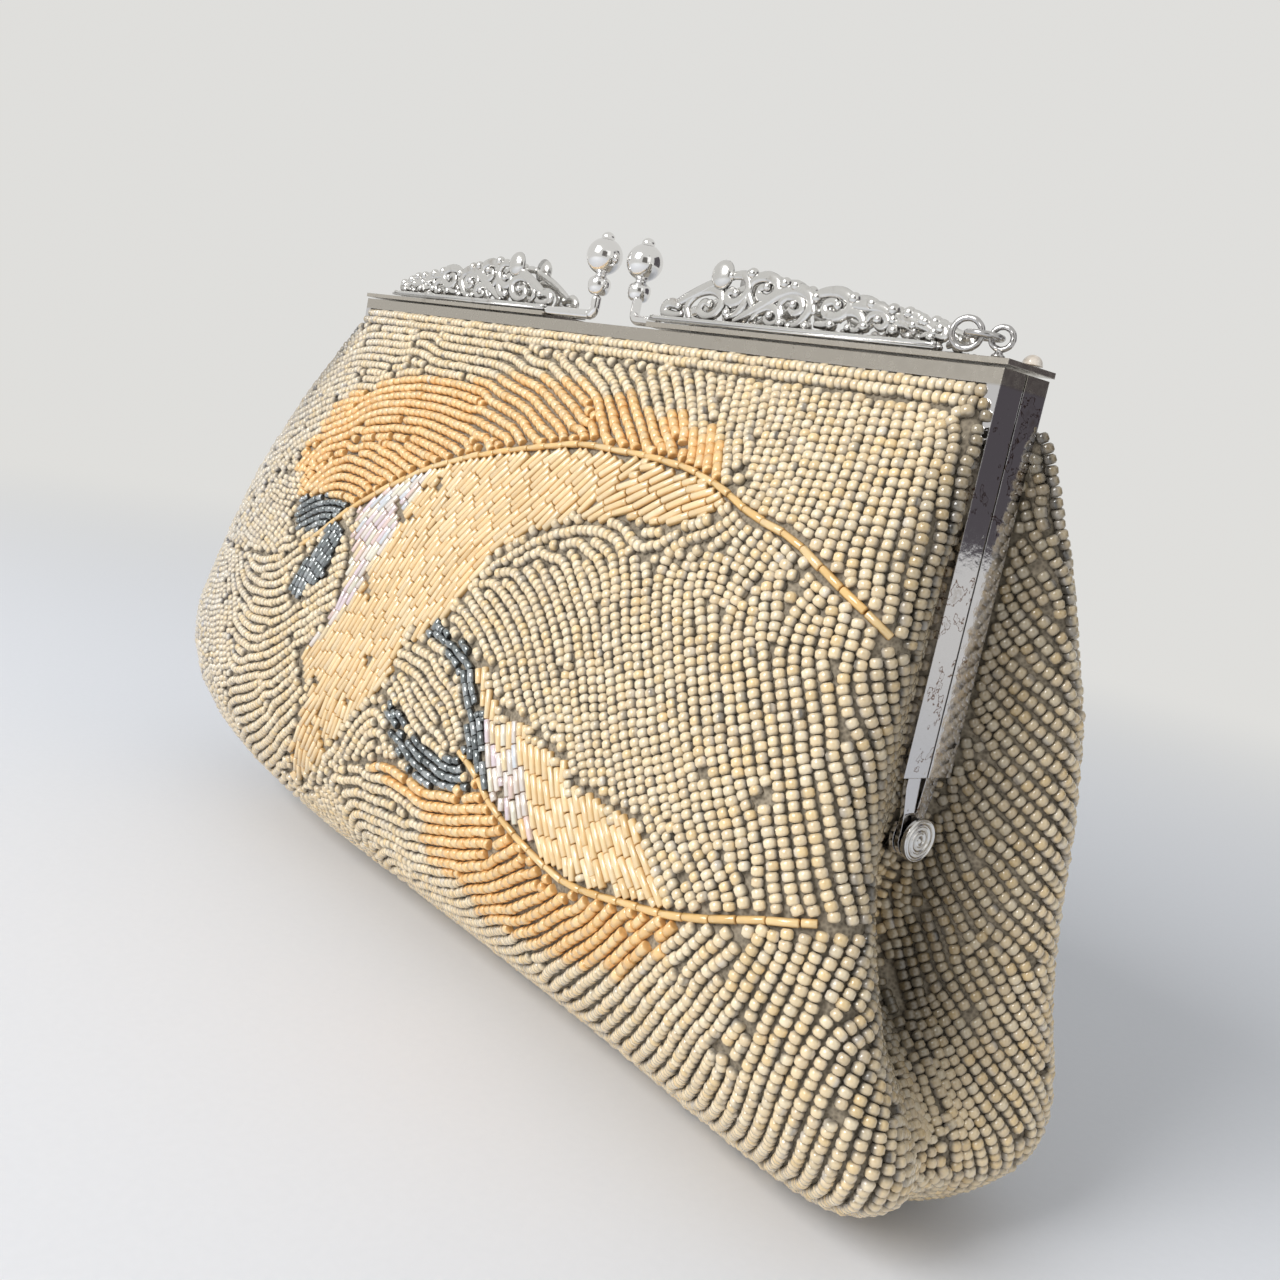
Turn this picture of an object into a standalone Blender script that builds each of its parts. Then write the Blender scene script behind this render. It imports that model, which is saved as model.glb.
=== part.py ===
# Beaded evening handbag on a hinged metal frame with a ball clasp.
# Metres, +Z up, X along the frame's bar, front towards -Y, origin on the base under the bar's middle.
import math

import bmesh
import bpy
from mathutils import Matrix, Vector

# Overall sizes
bar_width = 0.184
frame_depth = 0.010
bar_height = 0.120
arm_drop = 0.0637
body_half_width = 0.113
body_depth = 0.0275

# Clearances
fit_gap = 0.0003
pin_clearance = 0.0002
overrun = 0.001

# Frame channel and its hinge lugs
channel_depth = 0.0022
channel_wall = 0.0006
arm_end_over_hinge = 0.0086
lug_thickness = 0.0007
lug_skin = 0.00005
lug_radius = 0.0029
lug_block_width = 0.0026
lug_block_height = 0.003
neck_share_low = 0.38
neck_half_width = 0.00105
lug_arc_points = 18
lug_arc_start = math.radians(165)
lug_arc_end = math.radians(400)

# Hinge pins and rosettes
pin_radius = 0.0009
pin_head_radius = 0.0018
pin_head_thickness = 0.0005
rosette_radius = 0.0032
rosette_thickness = 0.0008
rosette_boss_radius = 0.0009
rosette_boss_height = 0.0003

# Retaining cords inside the channels
cord_radius = 0.00025
cord_end_over_arm = 0.004

# Top plates, rails and crests
plate_inner = 0.0164
plate_overhang = 0.0005
plate_side_overhang = 0.0002
plate_lift = 0.0004
plate_thickness = 0.0008
rail_width = 0.0013
rail_height = 0.0013
rail_end = 0.080
rail_groove_share = 0.45
crest_foot = 0.018
crest_end = 0.080
crest_height = 0.0098
crest_wall = 0.0009
crest_setback = 0.0018

# Ball clasp
ball_radius = 0.0033
ball_height = 0.012
ball_spacing = 0.0069
right_ball_x = 0.0059
right_ball_y = -0.0001
left_ball_y = -0.0041
right_foot_x = 0.0090
right_foot_y = -0.0024
nub_radius = 0.0013
nub_share = 0.93
collar_radius = 0.0021
collar_drop = 0.00355
stem_radius = 0.0009
stem_bend = 0.0016
stem_rod_lift = 0.0002

# Ring fittings on the right plate
eye_x = 0.0887
eye_y = -0.0026
ring_bearing = math.radians(203)
eye_ring_radius = 0.00145
eye_wire_radius = 0.0004
eye_foot_share = 0.6
link_reach = 0.00475
link_wire_radius = 0.00042
ring_ring_radius = 0.0020
ring_wire_radius = 0.00045
dome_x = 0.0907
dome_y = 0.0022
dome_radius = 0.0014

# Beaded shell, gussets and lining
panel_thickness = 0.0018
lining_thickness = 0.0006
lining_gap = 0.0005
panel_edge_gap = 0.0006
edge_depth = 0.0030
valley_half_width = 0.097
base_half_width = 0.084
base_depth_share = 0.36
mouth_tuck_share = 0.93
mouth_tuck_span_share = 0.055
gusset_top = 0.051
gusset_bottom = 0.008
gusset_corner_gap = 0.00045
shell_columns = 20
base_rows = 2
gusset_rows = 9

# Inner slip pocket on the back lining
pocket_half_width = 0.045
pocket_bottom = 0.030
pocket_top = 0.052
pocket_thickness = 0.0008
pocket_columns = 6
pocket_rows = 3

# Worked-out places
half_bar = bar_width / 2
half_depth = frame_depth / 2
half_gap = fit_gap / 2
hinge_height = bar_height - arm_drop
arm_end = hinge_height + arm_end_over_hinge
channel_middle = (half_depth + half_gap) / 2
mouth_half_width = half_bar - channel_depth - panel_edge_gap
shell_top = bar_height - channel_wall - 2 * fit_gap - 2 * cord_radius
channel_face = half_depth - channel_wall - fit_gap
plate_low = bar_height + plate_lift
plate_high = plate_low + plate_thickness
plate_side = half_depth + plate_side_overhang

# Body outline: share of the shell's height, of its half width, of its valley width and of its depth.
# Each row is one height, from the channel down to the base.
outline_shares = [
    (1.000, 0.0, 0.0, 0.00),
    (0.980, 0.0, 0.0, 0.00),
    (0.955, 0.0, 0.0, 0.13),
    (0.915, 0.0, 0.0, 0.30),
    (0.850, 0.0, 0.0, 0.50),
    (0.790, 0.0, 0.0, 0.64),
    (0.700, 0.0, 0.0, 0.78),
    (0.610, 0.0, 0.0, 0.88),
    (0.540, 0.0, 0.0, 0.92),
    (0.473, 0.18, 0.0, 0.95),
    (0.420, 0.35, 0.05, 0.97),
    (0.360, 0.58, 0.25, 0.99),
    (0.300, 0.78, 0.48, 1.00),
    (0.210, 0.95, 0.80, 0.99),
    (0.130, 0.92, 0.92, 0.93),
    (0.070, 0.72, 0.70, 0.81),
    (0.030, 0.38, 0.38, 0.65),
    (0.000, 0.0, 0.0, base_depth_share),
]
# Half section at one height: how far out towards the widest place, how far across, how far forward.
section_shares = [
    (0.0, 1.00, 0.00),
    (1.0, 0.985, 0.42),
    (1.0, 0.90, 0.80),
    (1.0, 0.55, 0.97),
    (1.0, 0.00, 1.00),
]
# Crest outline from its inner foot over the peak to its outer end: share of its length and of its height.
crest_shares = [
    (0.000, 0.00),
    (0.020, 0.10),
    (0.165, 0.86),
    (0.200, 0.97),
    (0.240, 1.00),
    (0.290, 0.95),
    (0.350, 0.82),
    (0.480, 0.72),
    (0.590, 0.60),
    (0.730, 0.40),
    (0.860, 0.27),
    (0.960, 0.16),
    (1.000, 0.06),
    (1.000, 0.00),
]
# Collar profile: share of its radius out from the axis and up from its middle.
collar_shares = [(0, -1), (0.55, -0.95), (0.9, -0.55), (1, 0), (0.9, 0.45), (0.5, 0.62), (0, 0.62)]
# How far down each stretch of the shell its rows of points lie.
upper_row_shares = (0, 0.025, 0.07, 0.16, 0.28, 0.45, 0.68, 0.87, 1)
lower_row_shares = (0, 0.16, 0.3, 0.44, 0.58, 0.7, 0.8, 0.88, 0.95, 1)
round_sides = 20
fine_sides = 12
ball_rings = 10
dome_rings = 5
bend_steps = 5
ring_steps = 20


# Scene and materials

def clear_scene():
    for obj in list(bpy.data.objects):
        bpy.data.objects.remove(obj, do_unlink=True)


def make_material(name, color, roughness, metallic):
    material = bpy.data.materials.new(name)
    material.use_nodes = True
    shader = material.node_tree.nodes["Principled BSDF"]
    shader.inputs["Base Color"].default_value = (*color, 1.0)
    shader.inputs["Roughness"].default_value = roughness
    shader.inputs["Metallic"].default_value = metallic
    return material


def make_object(name, points, faces, material, hinge=None):
    mesh = bpy.data.meshes.new(name)
    mesh.from_pydata([tuple(p) for p in points], [], faces)
    shape = bmesh.new()
    shape.from_mesh(mesh)
    bmesh.ops.recalc_face_normals(shape, faces=shape.faces)
    if shape.calc_volume(signed=True) < 0:
        bmesh.ops.reverse_faces(shape, faces=shape.faces)
    shape.to_mesh(mesh)
    shape.free()
    return finish_object(name, mesh, material, hinge)


def finish_object(name, mesh, material, hinge=None):
    obj = bpy.data.objects.new(name, mesh)
    bpy.context.scene.collection.objects.link(obj)
    mesh.materials.append(material)
    mesh.shade_smooth()
    mesh.set_sharp_from_angle(angle=math.radians(35))
    if hinge:
        hang_on(obj, hinge)
    return obj


def hang_on(obj, hinge):
    obj.parent = hinge
    obj.matrix_parent_inverse = hinge.matrix_world.inverted()


def make_hinge(name, place):
    hinge = bpy.data.objects.new(name, None)
    bpy.context.scene.collection.objects.link(hinge)
    hinge.location = place
    bpy.context.view_layer.update()
    return hinge


def join(obj, tool, operation="UNION"):
    """Keeps the tool as a hidden helper and joins it to, or cuts it from, the object."""
    tool.hide_render = True
    tool.display_type = "WIRE"
    modifier = obj.modifiers.new(operation.lower() + " " + tool.name, "BOOLEAN")
    modifier.operation = operation
    modifier.object = tool
    modifier.solver = "EXACT"


# Basic shapes

def extruded(outline, place, low, high):
    """Points and faces of a flat outline pushed from low to high; place(a, b, c) gives the point."""
    count = len(outline)
    points = [place(a, b, low) for a, b in outline] + [place(a, b, high) for a, b in outline]
    faces = [list(range(count)), list(range(2 * count - 1, count - 1, -1))]
    for i in range(count):
        j = (i + 1) % count
        faces.append([i, i + count, j + count, j])
    return points, faces


def along_x(a, b, c):
    return Vector((c, a, b))


def along_y(a, b, c):
    return Vector((a, c, b))


def circle_outline(radius, sides):
    turn = math.tau / sides
    return [(radius * math.cos(turn * i), radius * math.sin(turn * i)) for i in range(sides)]


def disc_along_x(name, radius, low, high, height, sides, material, hinge=None):
    outline = [(a, b + height) for a, b in circle_outline(radius, sides)]
    points, faces = extruded(outline, along_x, low, high)
    return make_object(name, points, faces, material, hinge)


def sphere(name, radius, center, material, hinge=None):
    shape = bmesh.new()
    bmesh.ops.create_uvsphere(
        shape, u_segments=round_sides, v_segments=ball_rings, radius=radius, matrix=Matrix.Translation(center)
    )
    mesh = bpy.data.meshes.new(name)
    shape.to_mesh(mesh)
    shape.free()
    return finish_object(name, mesh, material, hinge)


def turned(name, profile, base, material, hinge=None):
    """A solid turned about a vertical axis at base, from (radius, height) points that start and end on the axis."""
    points = [Vector(base) + Vector((0, 0, profile[0][1]))]
    rings = profile[1:-1]
    for radius, height in rings:
        for a, b in circle_outline(radius, round_sides):
            points.append(Vector(base) + Vector((a, b, height)))
    points.append(Vector(base) + Vector((0, 0, profile[-1][1])))
    last = len(points) - 1
    faces = []
    for i in range(round_sides):
        j = (i + 1) % round_sides
        faces.append([0, 1 + i, 1 + j])
        for ring in range(len(rings) - 1):
            low = 1 + ring * round_sides
            high = low + round_sides
            faces.append([low + i, high + i, high + j, low + j])
        top = 1 + (len(rings) - 1) * round_sides
        faces.append([top + i, last, top + j])
    return make_object(name, points, faces, material, hinge)


def torus(name, center, major, minor, out, up, material, hinge=None):
    """A closed ring of wire in the plane of the unit vectors out and up."""
    axis = out.cross(up)
    points = []
    for i in range(ring_steps):
        turn = math.tau * i / ring_steps
        arm = out * math.cos(turn) + up * math.sin(turn)
        for a, b in circle_outline(minor, fine_sides):
            points.append(center + arm * (major + a) + axis * b)
    faces = []
    for i in range(ring_steps):
        for k in range(fine_sides):
            here = i * fine_sides
            there = (i + 1) % ring_steps * fine_sides
            after = (k + 1) % fine_sides
            faces.append([here + k, there + k, there + after, here + after])
    return make_object(name, points, faces, material, hinge)


def rod(name, route, radius, material, hinge=None):
    """A round wire along a list of points, with closed ends."""
    curve = bpy.data.curves.new(name, "CURVE")
    curve.dimensions = "3D"
    curve.bevel_depth = radius
    curve.bevel_resolution = 2
    curve.use_fill_caps = True
    spline = curve.splines.new("POLY")
    spline.points.add(len(route) - 1)
    for point, place in zip(spline.points, route):
        point.co = (*place, 1.0)
    obj = bpy.data.objects.new(name, curve)
    bpy.context.scene.collection.objects.link(obj)
    curve.materials.append(material)
    if hinge:
        hang_on(obj, hinge)
    return obj


def rounded_route(corners, bend, steps=bend_steps):
    """The corner points with each inner corner rounded by a quadratic curve that starts one bend away."""
    route = [Vector(corners[0])]
    for before, corner, after in zip(corners, corners[1:], corners[2:]):
        corner = Vector(corner)
        start = corner + (Vector(before) - corner).normalized() * bend
        end = corner + (Vector(after) - corner).normalized() * bend
        for i in range(steps + 1):
            t = i / steps
            route.append(start.lerp(corner, t).lerp(corner.lerp(end, t), t))
    route.append(Vector(corners[-1]))
    return route


# Frame halves

def channel_shape():
    """The front half's bar and arms: an open channel that faces inwards, swept round two square corners."""
    profile = [
        (0, -half_depth),
        (0, -half_gap),
        (channel_depth, -half_gap),
        (channel_depth, -half_gap - channel_wall),
        (channel_wall, -half_gap - channel_wall),
        (channel_wall, -half_depth + channel_wall),
        (channel_depth, -half_depth + channel_wall),
        (channel_depth, -half_depth),
    ]
    stations = [
        (-half_bar, arm_end, 1, 0),
        (-half_bar, bar_height, 1, -1),
        (half_bar, bar_height, -1, -1),
        (half_bar, arm_end, -1, 0),
    ]
    points = [
        Vector((x + inward * side, y, z + inward * down)) for x, z, side, down in stations for inward, y in profile
    ]
    count = len(profile)
    faces = [list(range(count)), list(range(len(points) - 1, len(points) - count - 1, -1))]
    for k in range(len(stations) - 1):
        for i in range(count):
            j = (i + 1) % count
            faces.append([k * count + i, (k + 1) * count + i, (k + 1) * count + j, k * count + j])
    return points, faces


def lug_outline():
    """Neck and eye of an arm in Y and Z: a block inside the channel, a narrow neck and a disc on the hinge axis."""
    left = -channel_middle - lug_block_width / 2
    right = -channel_middle + lug_block_width / 2
    neck_height = hinge_height + neck_share_low * arm_end_over_hinge
    neck_middle = -channel_middle * neck_share_low * 2
    outline = [
        (right, arm_end),
        (right, arm_end + lug_block_height),
        (left, arm_end + lug_block_height),
        (left, arm_end - lug_block_width / 2),
        (neck_middle - neck_half_width, neck_height),
    ]
    for i in range(lug_arc_points):
        turn = lug_arc_start + (lug_arc_end - lug_arc_start) * i / (lug_arc_points - 1)
        outline.append((lug_radius * math.cos(turn), hinge_height + lug_radius * math.sin(turn)))
    outline.append((neck_middle + neck_half_width, neck_height))
    return outline


def add_lugs(frame, side_name, material):
    """The outer lug on the right arm and the inner, stepped lug on the left arm."""
    outer = half_bar - lug_skin
    outline = lug_outline()
    points, faces = extruded(outline, along_x, outer - lug_thickness, outer)
    join(frame, make_object(side_name + "_outer_lug", points, faces, material))
    inner = outer - lug_thickness - fit_gap
    points, faces = extruded(outline, along_x, -inner, -inner + lug_thickness)
    join(frame, make_object(side_name + "_inner_lug", points, faces, material))
    block = [(a, b) for a, b in outline[:4] if b > arm_end - fit_gap]
    block.append((-channel_middle - lug_block_width / 2, arm_end + fit_gap))
    block[0] = (block[0][0], arm_end + fit_gap)
    points, faces = extruded(block, along_x, -half_bar + channel_wall / 2, -inner + lug_thickness / 2)
    join(frame, make_object(side_name + "_lug_step", points, faces, material))
    hole = disc_along_x(
        side_name + "_pin_hole",
        pin_radius + pin_clearance,
        -half_bar - overrun,
        half_bar + overrun,
        hinge_height,
        round_sides,
        material,
    )
    join(frame, hole, "DIFFERENCE")


def make_frame_half(name, hinge, material, turned_round):
    points, faces = channel_shape()
    frame = make_object(name, points, faces, material)
    add_lugs(frame, name, material)
    if turned_round:
        half_turn = Matrix.Rotation(math.pi, 4, "Z")
        for obj in [frame] + [modifier.object for modifier in frame.modifiers]:
            obj.data.transform(half_turn)
    hang_on(frame, hinge)
    for modifier in frame.modifiers:
        hang_on(modifier.object, hinge)
    return frame


def make_retaining_cord(name, hinge, material, sign):
    lift = channel_wall + fit_gap + cord_radius
    x = half_bar - lift
    y = sign * channel_middle
    top = bar_height - lift
    low = arm_end + cord_end_over_arm
    corners = [(-x, y, low), (-x, y, top), (x, y, top), (x, y, low)]
    return rod(name, rounded_route(corners, cord_radius * 3), cord_radius, material, hinge)


def make_hinge_pin(name, side, material):
    """A rivet along X: an inner head, then the shaft that carries both lugs."""
    stack_in = half_bar - lug_skin - 2 * lug_thickness - fit_gap
    head_out = stack_in - fit_gap
    head_in = head_out - pin_head_thickness
    tip = half_bar + pin_clearance
    pin = disc_along_x(name, pin_head_radius, side * head_in, side * head_out, hinge_height, round_sides, material)
    shaft_start = side * (head_in + pin_head_thickness / 2)
    shaft = disc_along_x(name + "_shaft", pin_radius, shaft_start, side * tip, hinge_height, round_sides, material)
    join(pin, shaft)
    return pin


def make_rosette(name, side, material):
    inner = half_bar + pin_clearance + fit_gap
    outer = inner + rosette_thickness
    cap = disc_along_x(name, rosette_radius, side * inner, side * outer, hinge_height, 2 * round_sides, material)
    boss = disc_along_x(
        name + "_boss",
        rosette_boss_radius,
        side * (outer - rosette_thickness / 2),
        side * (outer + rosette_boss_height),
        hinge_height,
        round_sides,
        material,
    )
    join(cap, boss)
    return cap


# Top fittings

def make_plate(name, side, hinge, material):
    outline = [
        (plate_inner, plate_low),
        (half_bar + plate_overhang, plate_low),
        (half_bar + plate_overhang, plate_high),
        (plate_inner, plate_high),
    ]
    points, faces = extruded([(side * a, b) for a, b in outline], along_y, -plate_side, plate_side)
    return make_object(name, points, faces, material, hinge)


def make_rail(name, side, face, hinge, material):
    """A moulding with two ridges along the plate's edge."""
    low = plate_high + fit_gap
    outline = [
        (0, low),
        (rail_width, low),
        (rail_width, low + rail_height),
        (rail_width * (1 - rail_groove_share), low + rail_height),
        (rail_width / 2, low + rail_height * (1 - rail_groove_share / 2)),
        (rail_width * rail_groove_share, low + rail_height),
        (0, low + rail_height),
    ]
    outline = [(face * (plate_side - a), b) for a, b in outline]
    points, faces = extruded(outline, along_x, side * (plate_inner + fit_gap), side * rail_end)
    return make_object(name, points, faces, material, hinge)


def make_crest(name, side, face, hinge, material):
    low = plate_high + fit_gap
    length = crest_end - crest_foot
    outline = [(side * (crest_foot + a * length), low + b * crest_height) for a, b in crest_shares]
    outer = plate_side - crest_setback
    points, faces = extruded(outline, along_y, face * outer, face * (outer - crest_wall))
    return make_object(name, points, faces, material, hinge)


def make_ball(name, place, hinge, material):
    ball = sphere(name, ball_radius, place, material, hinge)
    nub = sphere(name + "_nub", nub_radius, place + Vector((0, 0, ball_radius * nub_share)), material, hinge)
    join(ball, nub)
    return ball


def make_collar(name, place, hinge, material):
    """The ring-shaped bead under the ball: a squat turned barrel."""
    profile = [(a * collar_radius, b * collar_radius) for a, b in collar_shares]
    return turned(name, profile, place, material, hinge)


def make_stem(name, side, foot, collar, hinge, material):
    """From the plate's inner end along the bar, then up to the collar."""
    rod_height = bar_height + stem_radius + stem_rod_lift + plate_lift
    start = Vector((side * (plate_inner - fit_gap), foot.y, rod_height))
    corner = Vector((foot.x, foot.y, rod_height))
    reach = collar_radius + fit_gap
    top = collar - (collar - corner).normalized() * reach
    return rod(name, rounded_route([start, corner, top], stem_bend), stem_radius, material, hinge)


def make_clasp_half(word, side, ball, foot, hinge, metal):
    collar = ball - Vector((0, 0, collar_drop))
    make_ball(word + "_clasp_ball", ball, hinge, metal)
    collar_low = collar - Vector((0, 0, fit_gap + collar_radius / 2))
    make_collar(word + "_clasp_collar", collar_low, hinge, metal)
    make_stem(word + "_clasp_stem", side, foot, collar_low, hinge, metal)


def make_eye(center, out, hinge, material):
    """A wire eye with a short foot on the plate."""
    up = Vector((0, 0, 1))
    eye = torus("ring_eye", center, eye_ring_radius, eye_wire_radius, out, up, material, hinge)
    foot_radius = eye_wire_radius / eye_foot_share
    foot_top = center.z - eye_ring_radius - plate_high
    outline = [(0, fit_gap), (foot_radius, fit_gap), (foot_radius * eye_foot_share, foot_top), (0, foot_top)]
    foot = turned("ring_eye_foot", outline, (center.x, center.y, plate_high), material, hinge)
    join(eye, foot)
    return eye


def make_dome(material, hinge):
    low = plate_high + fit_gap
    profile = [(0, 0), (dome_radius, 0)]
    for i in range(1, dome_rings):
        turn = math.pi / 2 * i / dome_rings
        profile.append((dome_radius * math.cos(turn), dome_radius * math.sin(turn)))
    profile.append((0, dome_radius))
    return turned("plate_rivet_dome", profile, (dome_x, dome_y, low), material, hinge)


# Soft shell

def spline_value(values, t):
    """A smooth curve through evenly spaced values; t runs over their indices."""
    i = min(int(t), len(values) - 2)
    f = t - i
    p1, p2 = values[i], values[i + 1]
    p0 = values[i - 1] if i > 0 else p1 * 2 - p2
    p3 = values[i + 2] if i + 2 < len(values) else p2 * 2 - p1
    bend = p0 * 2 - p1 * 5 + p2 * 4 - p3
    return 0.5 * (p1 * 2 + (p2 - p0) * f + bend * f * f + (p1 * 3 - p0 - p2 * 3 + p3) * f ** 3)


def level(height):
    """Half width, valley half width, forward share and edge share of the outline at a height."""
    share = height / shell_top
    rows = outline_shares
    for above, below in zip(rows, rows[1:]):
        if share >= below[0]:
            f = (above[0] - share) / (above[0] - below[0])
            wide, valley, deep = (above[k] + (below[k] - above[k]) * f for k in (1, 2, 3))
            break
    blend = min(max((gusset_top - height) / (gusset_top - gusset_bottom), 0), 1)
    low_width = mouth_half_width + (base_half_width - mouth_half_width) * blend
    half_width = low_width + (body_half_width - low_width) * wide
    valley_width = low_width + (valley_half_width - low_width) * valley
    return half_width, min(valley_width, half_width), deep


def edge_at(height):
    """How far forward the shell's side edge lies: in the channel at the top, on the seam at the base."""
    top_share = min(max((height / shell_top - mouth_tuck_share) / mouth_tuck_span_share, 0), 1)
    base_share = min(height / gusset_bottom, 1)
    high = edge_depth + (channel_face - edge_depth) * top_share
    return half_gap + (high - half_gap) * base_share


def outer_section(height):
    """Half outline of the shell at one height, seen from above, as (x, y) from the right edge to the middle."""
    half_width, valley_width, deep = level(height)
    edge = edge_at(height)
    forward = max(channel_face + (body_depth - channel_face) * deep, edge)
    xs = [(valley_width + (half_width - valley_width) * out) * side for out, side, front in section_shares]
    ys = [edge + (forward - edge) * front for out, side, front in section_shares]
    last = len(section_shares) - 1
    xs.append(-xs[last - 1])
    ys.append(ys[last - 1])
    half_count = shell_columns // 2
    return [
        (spline_value(xs, last * k / half_count), spline_value(ys, last * k / half_count))
        for k in range(half_count + 1)
    ]


def section(height, inset):
    """The whole outline at one height, moved in by the inset along its own normals, as points in space."""
    half = outer_section(height)
    outline = half + [(-x, y) for x, y in reversed(half[:-1])]
    points = []
    lift = inset * max(1 - height / (2 * gusset_bottom), 0)
    for k, (x, y) in enumerate(outline):
        before = outline[max(k - 1, 0)]
        after = outline[min(k + 1, len(outline) - 1)]
        run = Vector((after[0] - before[0], after[1] - before[1])).normalized()
        points.append((x - run.y * inset, max(y + run.x * inset, half_gap), height + lift))
    return points


def shell_rows(high, low, row_shares, inset, with_base):
    """Rows of points from the high level to the low one, then across the flat base to the seam."""
    grid = [section(high + (low - high) * share, inset) for share in row_shares]
    if with_base:
        last = grid[-1]
        for i in range(1, base_rows + 1):
            keep = 1 - i / base_rows
            grid.append([(x, half_gap + (y - half_gap) * keep, z) for x, y, z in last])
    return grid


def sheet_faces(rows, across):
    """Faces of a sheet whose points are its near side's rows, then its far side's."""
    size = rows * across
    faces = []
    for i in range(rows - 1):
        for k in range(across - 1):
            a = i * across + k
            faces.append([a, a + 1, a + across + 1, a + across])
            faces.append([size + a, size + a + across, size + a + across + 1, size + a + 1])
    rim = list(range(across))
    rim += [i * across + across - 1 for i in range(1, rows)]
    rim += [(rows - 1) * across + k for k in range(across - 2, -1, -1)]
    rim += [i * across for i in range(rows - 2, 0, -1)]
    for a, b in zip(rim, rim[1:] + rim[:1]):
        faces.append([a, size + a, size + b, b])
    return faces


def make_shell(name, high, low, row_shares, face, insets, material, hinge=None):
    """A sheet of cloth between two insets; face is -1 at the front and 1 at the back."""
    outer, inner = (shell_rows(high, low, row_shares, inset, low == 0) for inset in insets)
    points = [Vector((x, face * y, z)) for grid in (outer, inner) for row in grid for x, y, z in row]
    return make_object(name, points, sheet_faces(len(outer), len(outer[0])), material, hinge)


def make_gusset(name, side, material):
    """The narrow strip in the valley between the two beaded panels, below the hinge."""
    points = []
    reach = edge_depth - gusset_corner_gap
    for i in range(gusset_rows + 1):
        height = gusset_top + (gusset_bottom - gusset_top) * i / gusset_rows
        x = level(height)[1]
        for out in (x, x - panel_thickness):
            ends = (-reach, reach) if out == x else (reach, -reach)
            points += [Vector((side * out, y, height)) for y in ends]
    faces = [[0, 1, 2, 3], [len(points) - 1 - k for k in range(4)]]
    for i in range(gusset_rows):
        for k in range(4):
            after = (k + 1) % 4
            faces.append([4 * i + k, 4 * i + 4 + k, 4 * i + 4 + after, 4 * i + after])
    return make_object(name, points, faces, material)


def depth_at(outline, x):
    """How far forward an outline lies at x, between its own points."""
    for (x0, y0, _), (x1, y1, _) in zip(outline, outline[1:]):
        if x1 <= x <= x0 and x1 < x0:
            return y0 + (y1 - y0) * (x0 - x) / (x0 - x1)
    return outline[0][1]


def make_pocket(inset, material):
    """A flat slip pocket laid on the back lining."""
    near, far = [], []
    for i in range(pocket_rows + 1):
        height = pocket_top + (pocket_bottom - pocket_top) * i / pocket_rows
        outline = section(height, inset)
        for k in range(pocket_columns + 1):
            x = pocket_half_width * (1 - 2 * k / pocket_columns)
            y = depth_at(outline, x)
            near.append(Vector((x, y, height)))
            far.append(Vector((x, y - pocket_thickness, height)))
    faces = sheet_faces(pocket_rows + 1, pocket_columns + 1)
    return make_object("inner_slip_pocket", near + far, faces, material)


# Build

clear_scene()
nickel = make_material("nickel_plate", (0.62, 0.60, 0.57), 0.28, 1.0)
steel = make_material("rivet_steel", (0.55, 0.53, 0.50), 0.35, 1.0)
pearl = make_material("pearl_rivet", (0.78, 0.72, 0.64), 0.45, 0.0)
beads = make_material("glass_beads", (0.80, 0.72, 0.56), 0.2, 0.0)
cloth = make_material("lining_satin", (0.80, 0.74, 0.62), 0.6, 0.0)
string = make_material("retaining_cord", (0.70, 0.66, 0.58), 0.9, 0.0)

hinge_place = (0, 0, hinge_height)
front_hinge = make_hinge("front_frame_hinge", hinge_place)
back_hinge = make_hinge("back_frame_hinge", hinge_place)

make_frame_half("front_frame_half", front_hinge, nickel, False)
make_frame_half("back_frame_half", back_hinge, nickel, True)
make_retaining_cord("front_retaining_cord", front_hinge, string, -1)
make_retaining_cord("back_retaining_cord", back_hinge, string, 1)
for side_word, side_sign in (("right", 1), ("left", -1)):
    make_hinge_pin(side_word + "_hinge_pin", side_sign, steel)
    make_rosette(side_word + "_hinge_rosette", side_sign, nickel)
    carrier = front_hinge if side_sign == 1 else back_hinge
    make_plate(side_word + "_top_plate", side_sign, carrier, nickel)
    for face_word, face_sign in (("front", -1), ("back", 1)):
        make_rail(f"{side_word}_{face_word}_rail", side_sign, face_sign, carrier, nickel)
        make_crest(f"{side_word}_{face_word}_crest", side_sign, face_sign, carrier, nickel)

ball_level = bar_height + ball_height
right_ball = Vector((right_ball_x, right_ball_y, ball_level))
left_ball = Vector((right_ball_x - ball_spacing, left_ball_y, ball_level))
make_clasp_half("right", 1, right_ball, Vector((right_foot_x, right_foot_y, 0)), front_hinge, nickel)
make_clasp_half("left", -1, left_ball, Vector((left_ball.x, left_ball.y, 0)), back_hinge, nickel)

ring_out = Vector((math.cos(ring_bearing), math.sin(ring_bearing), 0))
ring_up = Vector((0, 0, 1))
ring_center_height = plate_high + fit_gap + ring_ring_radius + ring_wire_radius
eye_center = Vector((eye_x, eye_y, ring_center_height))
make_eye(eye_center, ring_out, front_hinge, steel)
link_hinge = make_hinge("link_hinge", eye_center)
link_center = eye_center + ring_out * (link_reach / 2)
link_side = ring_up.cross(ring_out)
torus("handle_link", link_center, link_reach / 2, link_wire_radius, ring_out, link_side, steel, link_hinge)
ring_center = eye_center + ring_out * link_reach
ring_hinge = make_hinge("ring_hinge", ring_center)
torus("handle_ring", ring_center, ring_ring_radius, ring_wire_radius, ring_out, ring_up, steel, ring_hinge)
make_dome(pearl, front_hinge)

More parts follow.
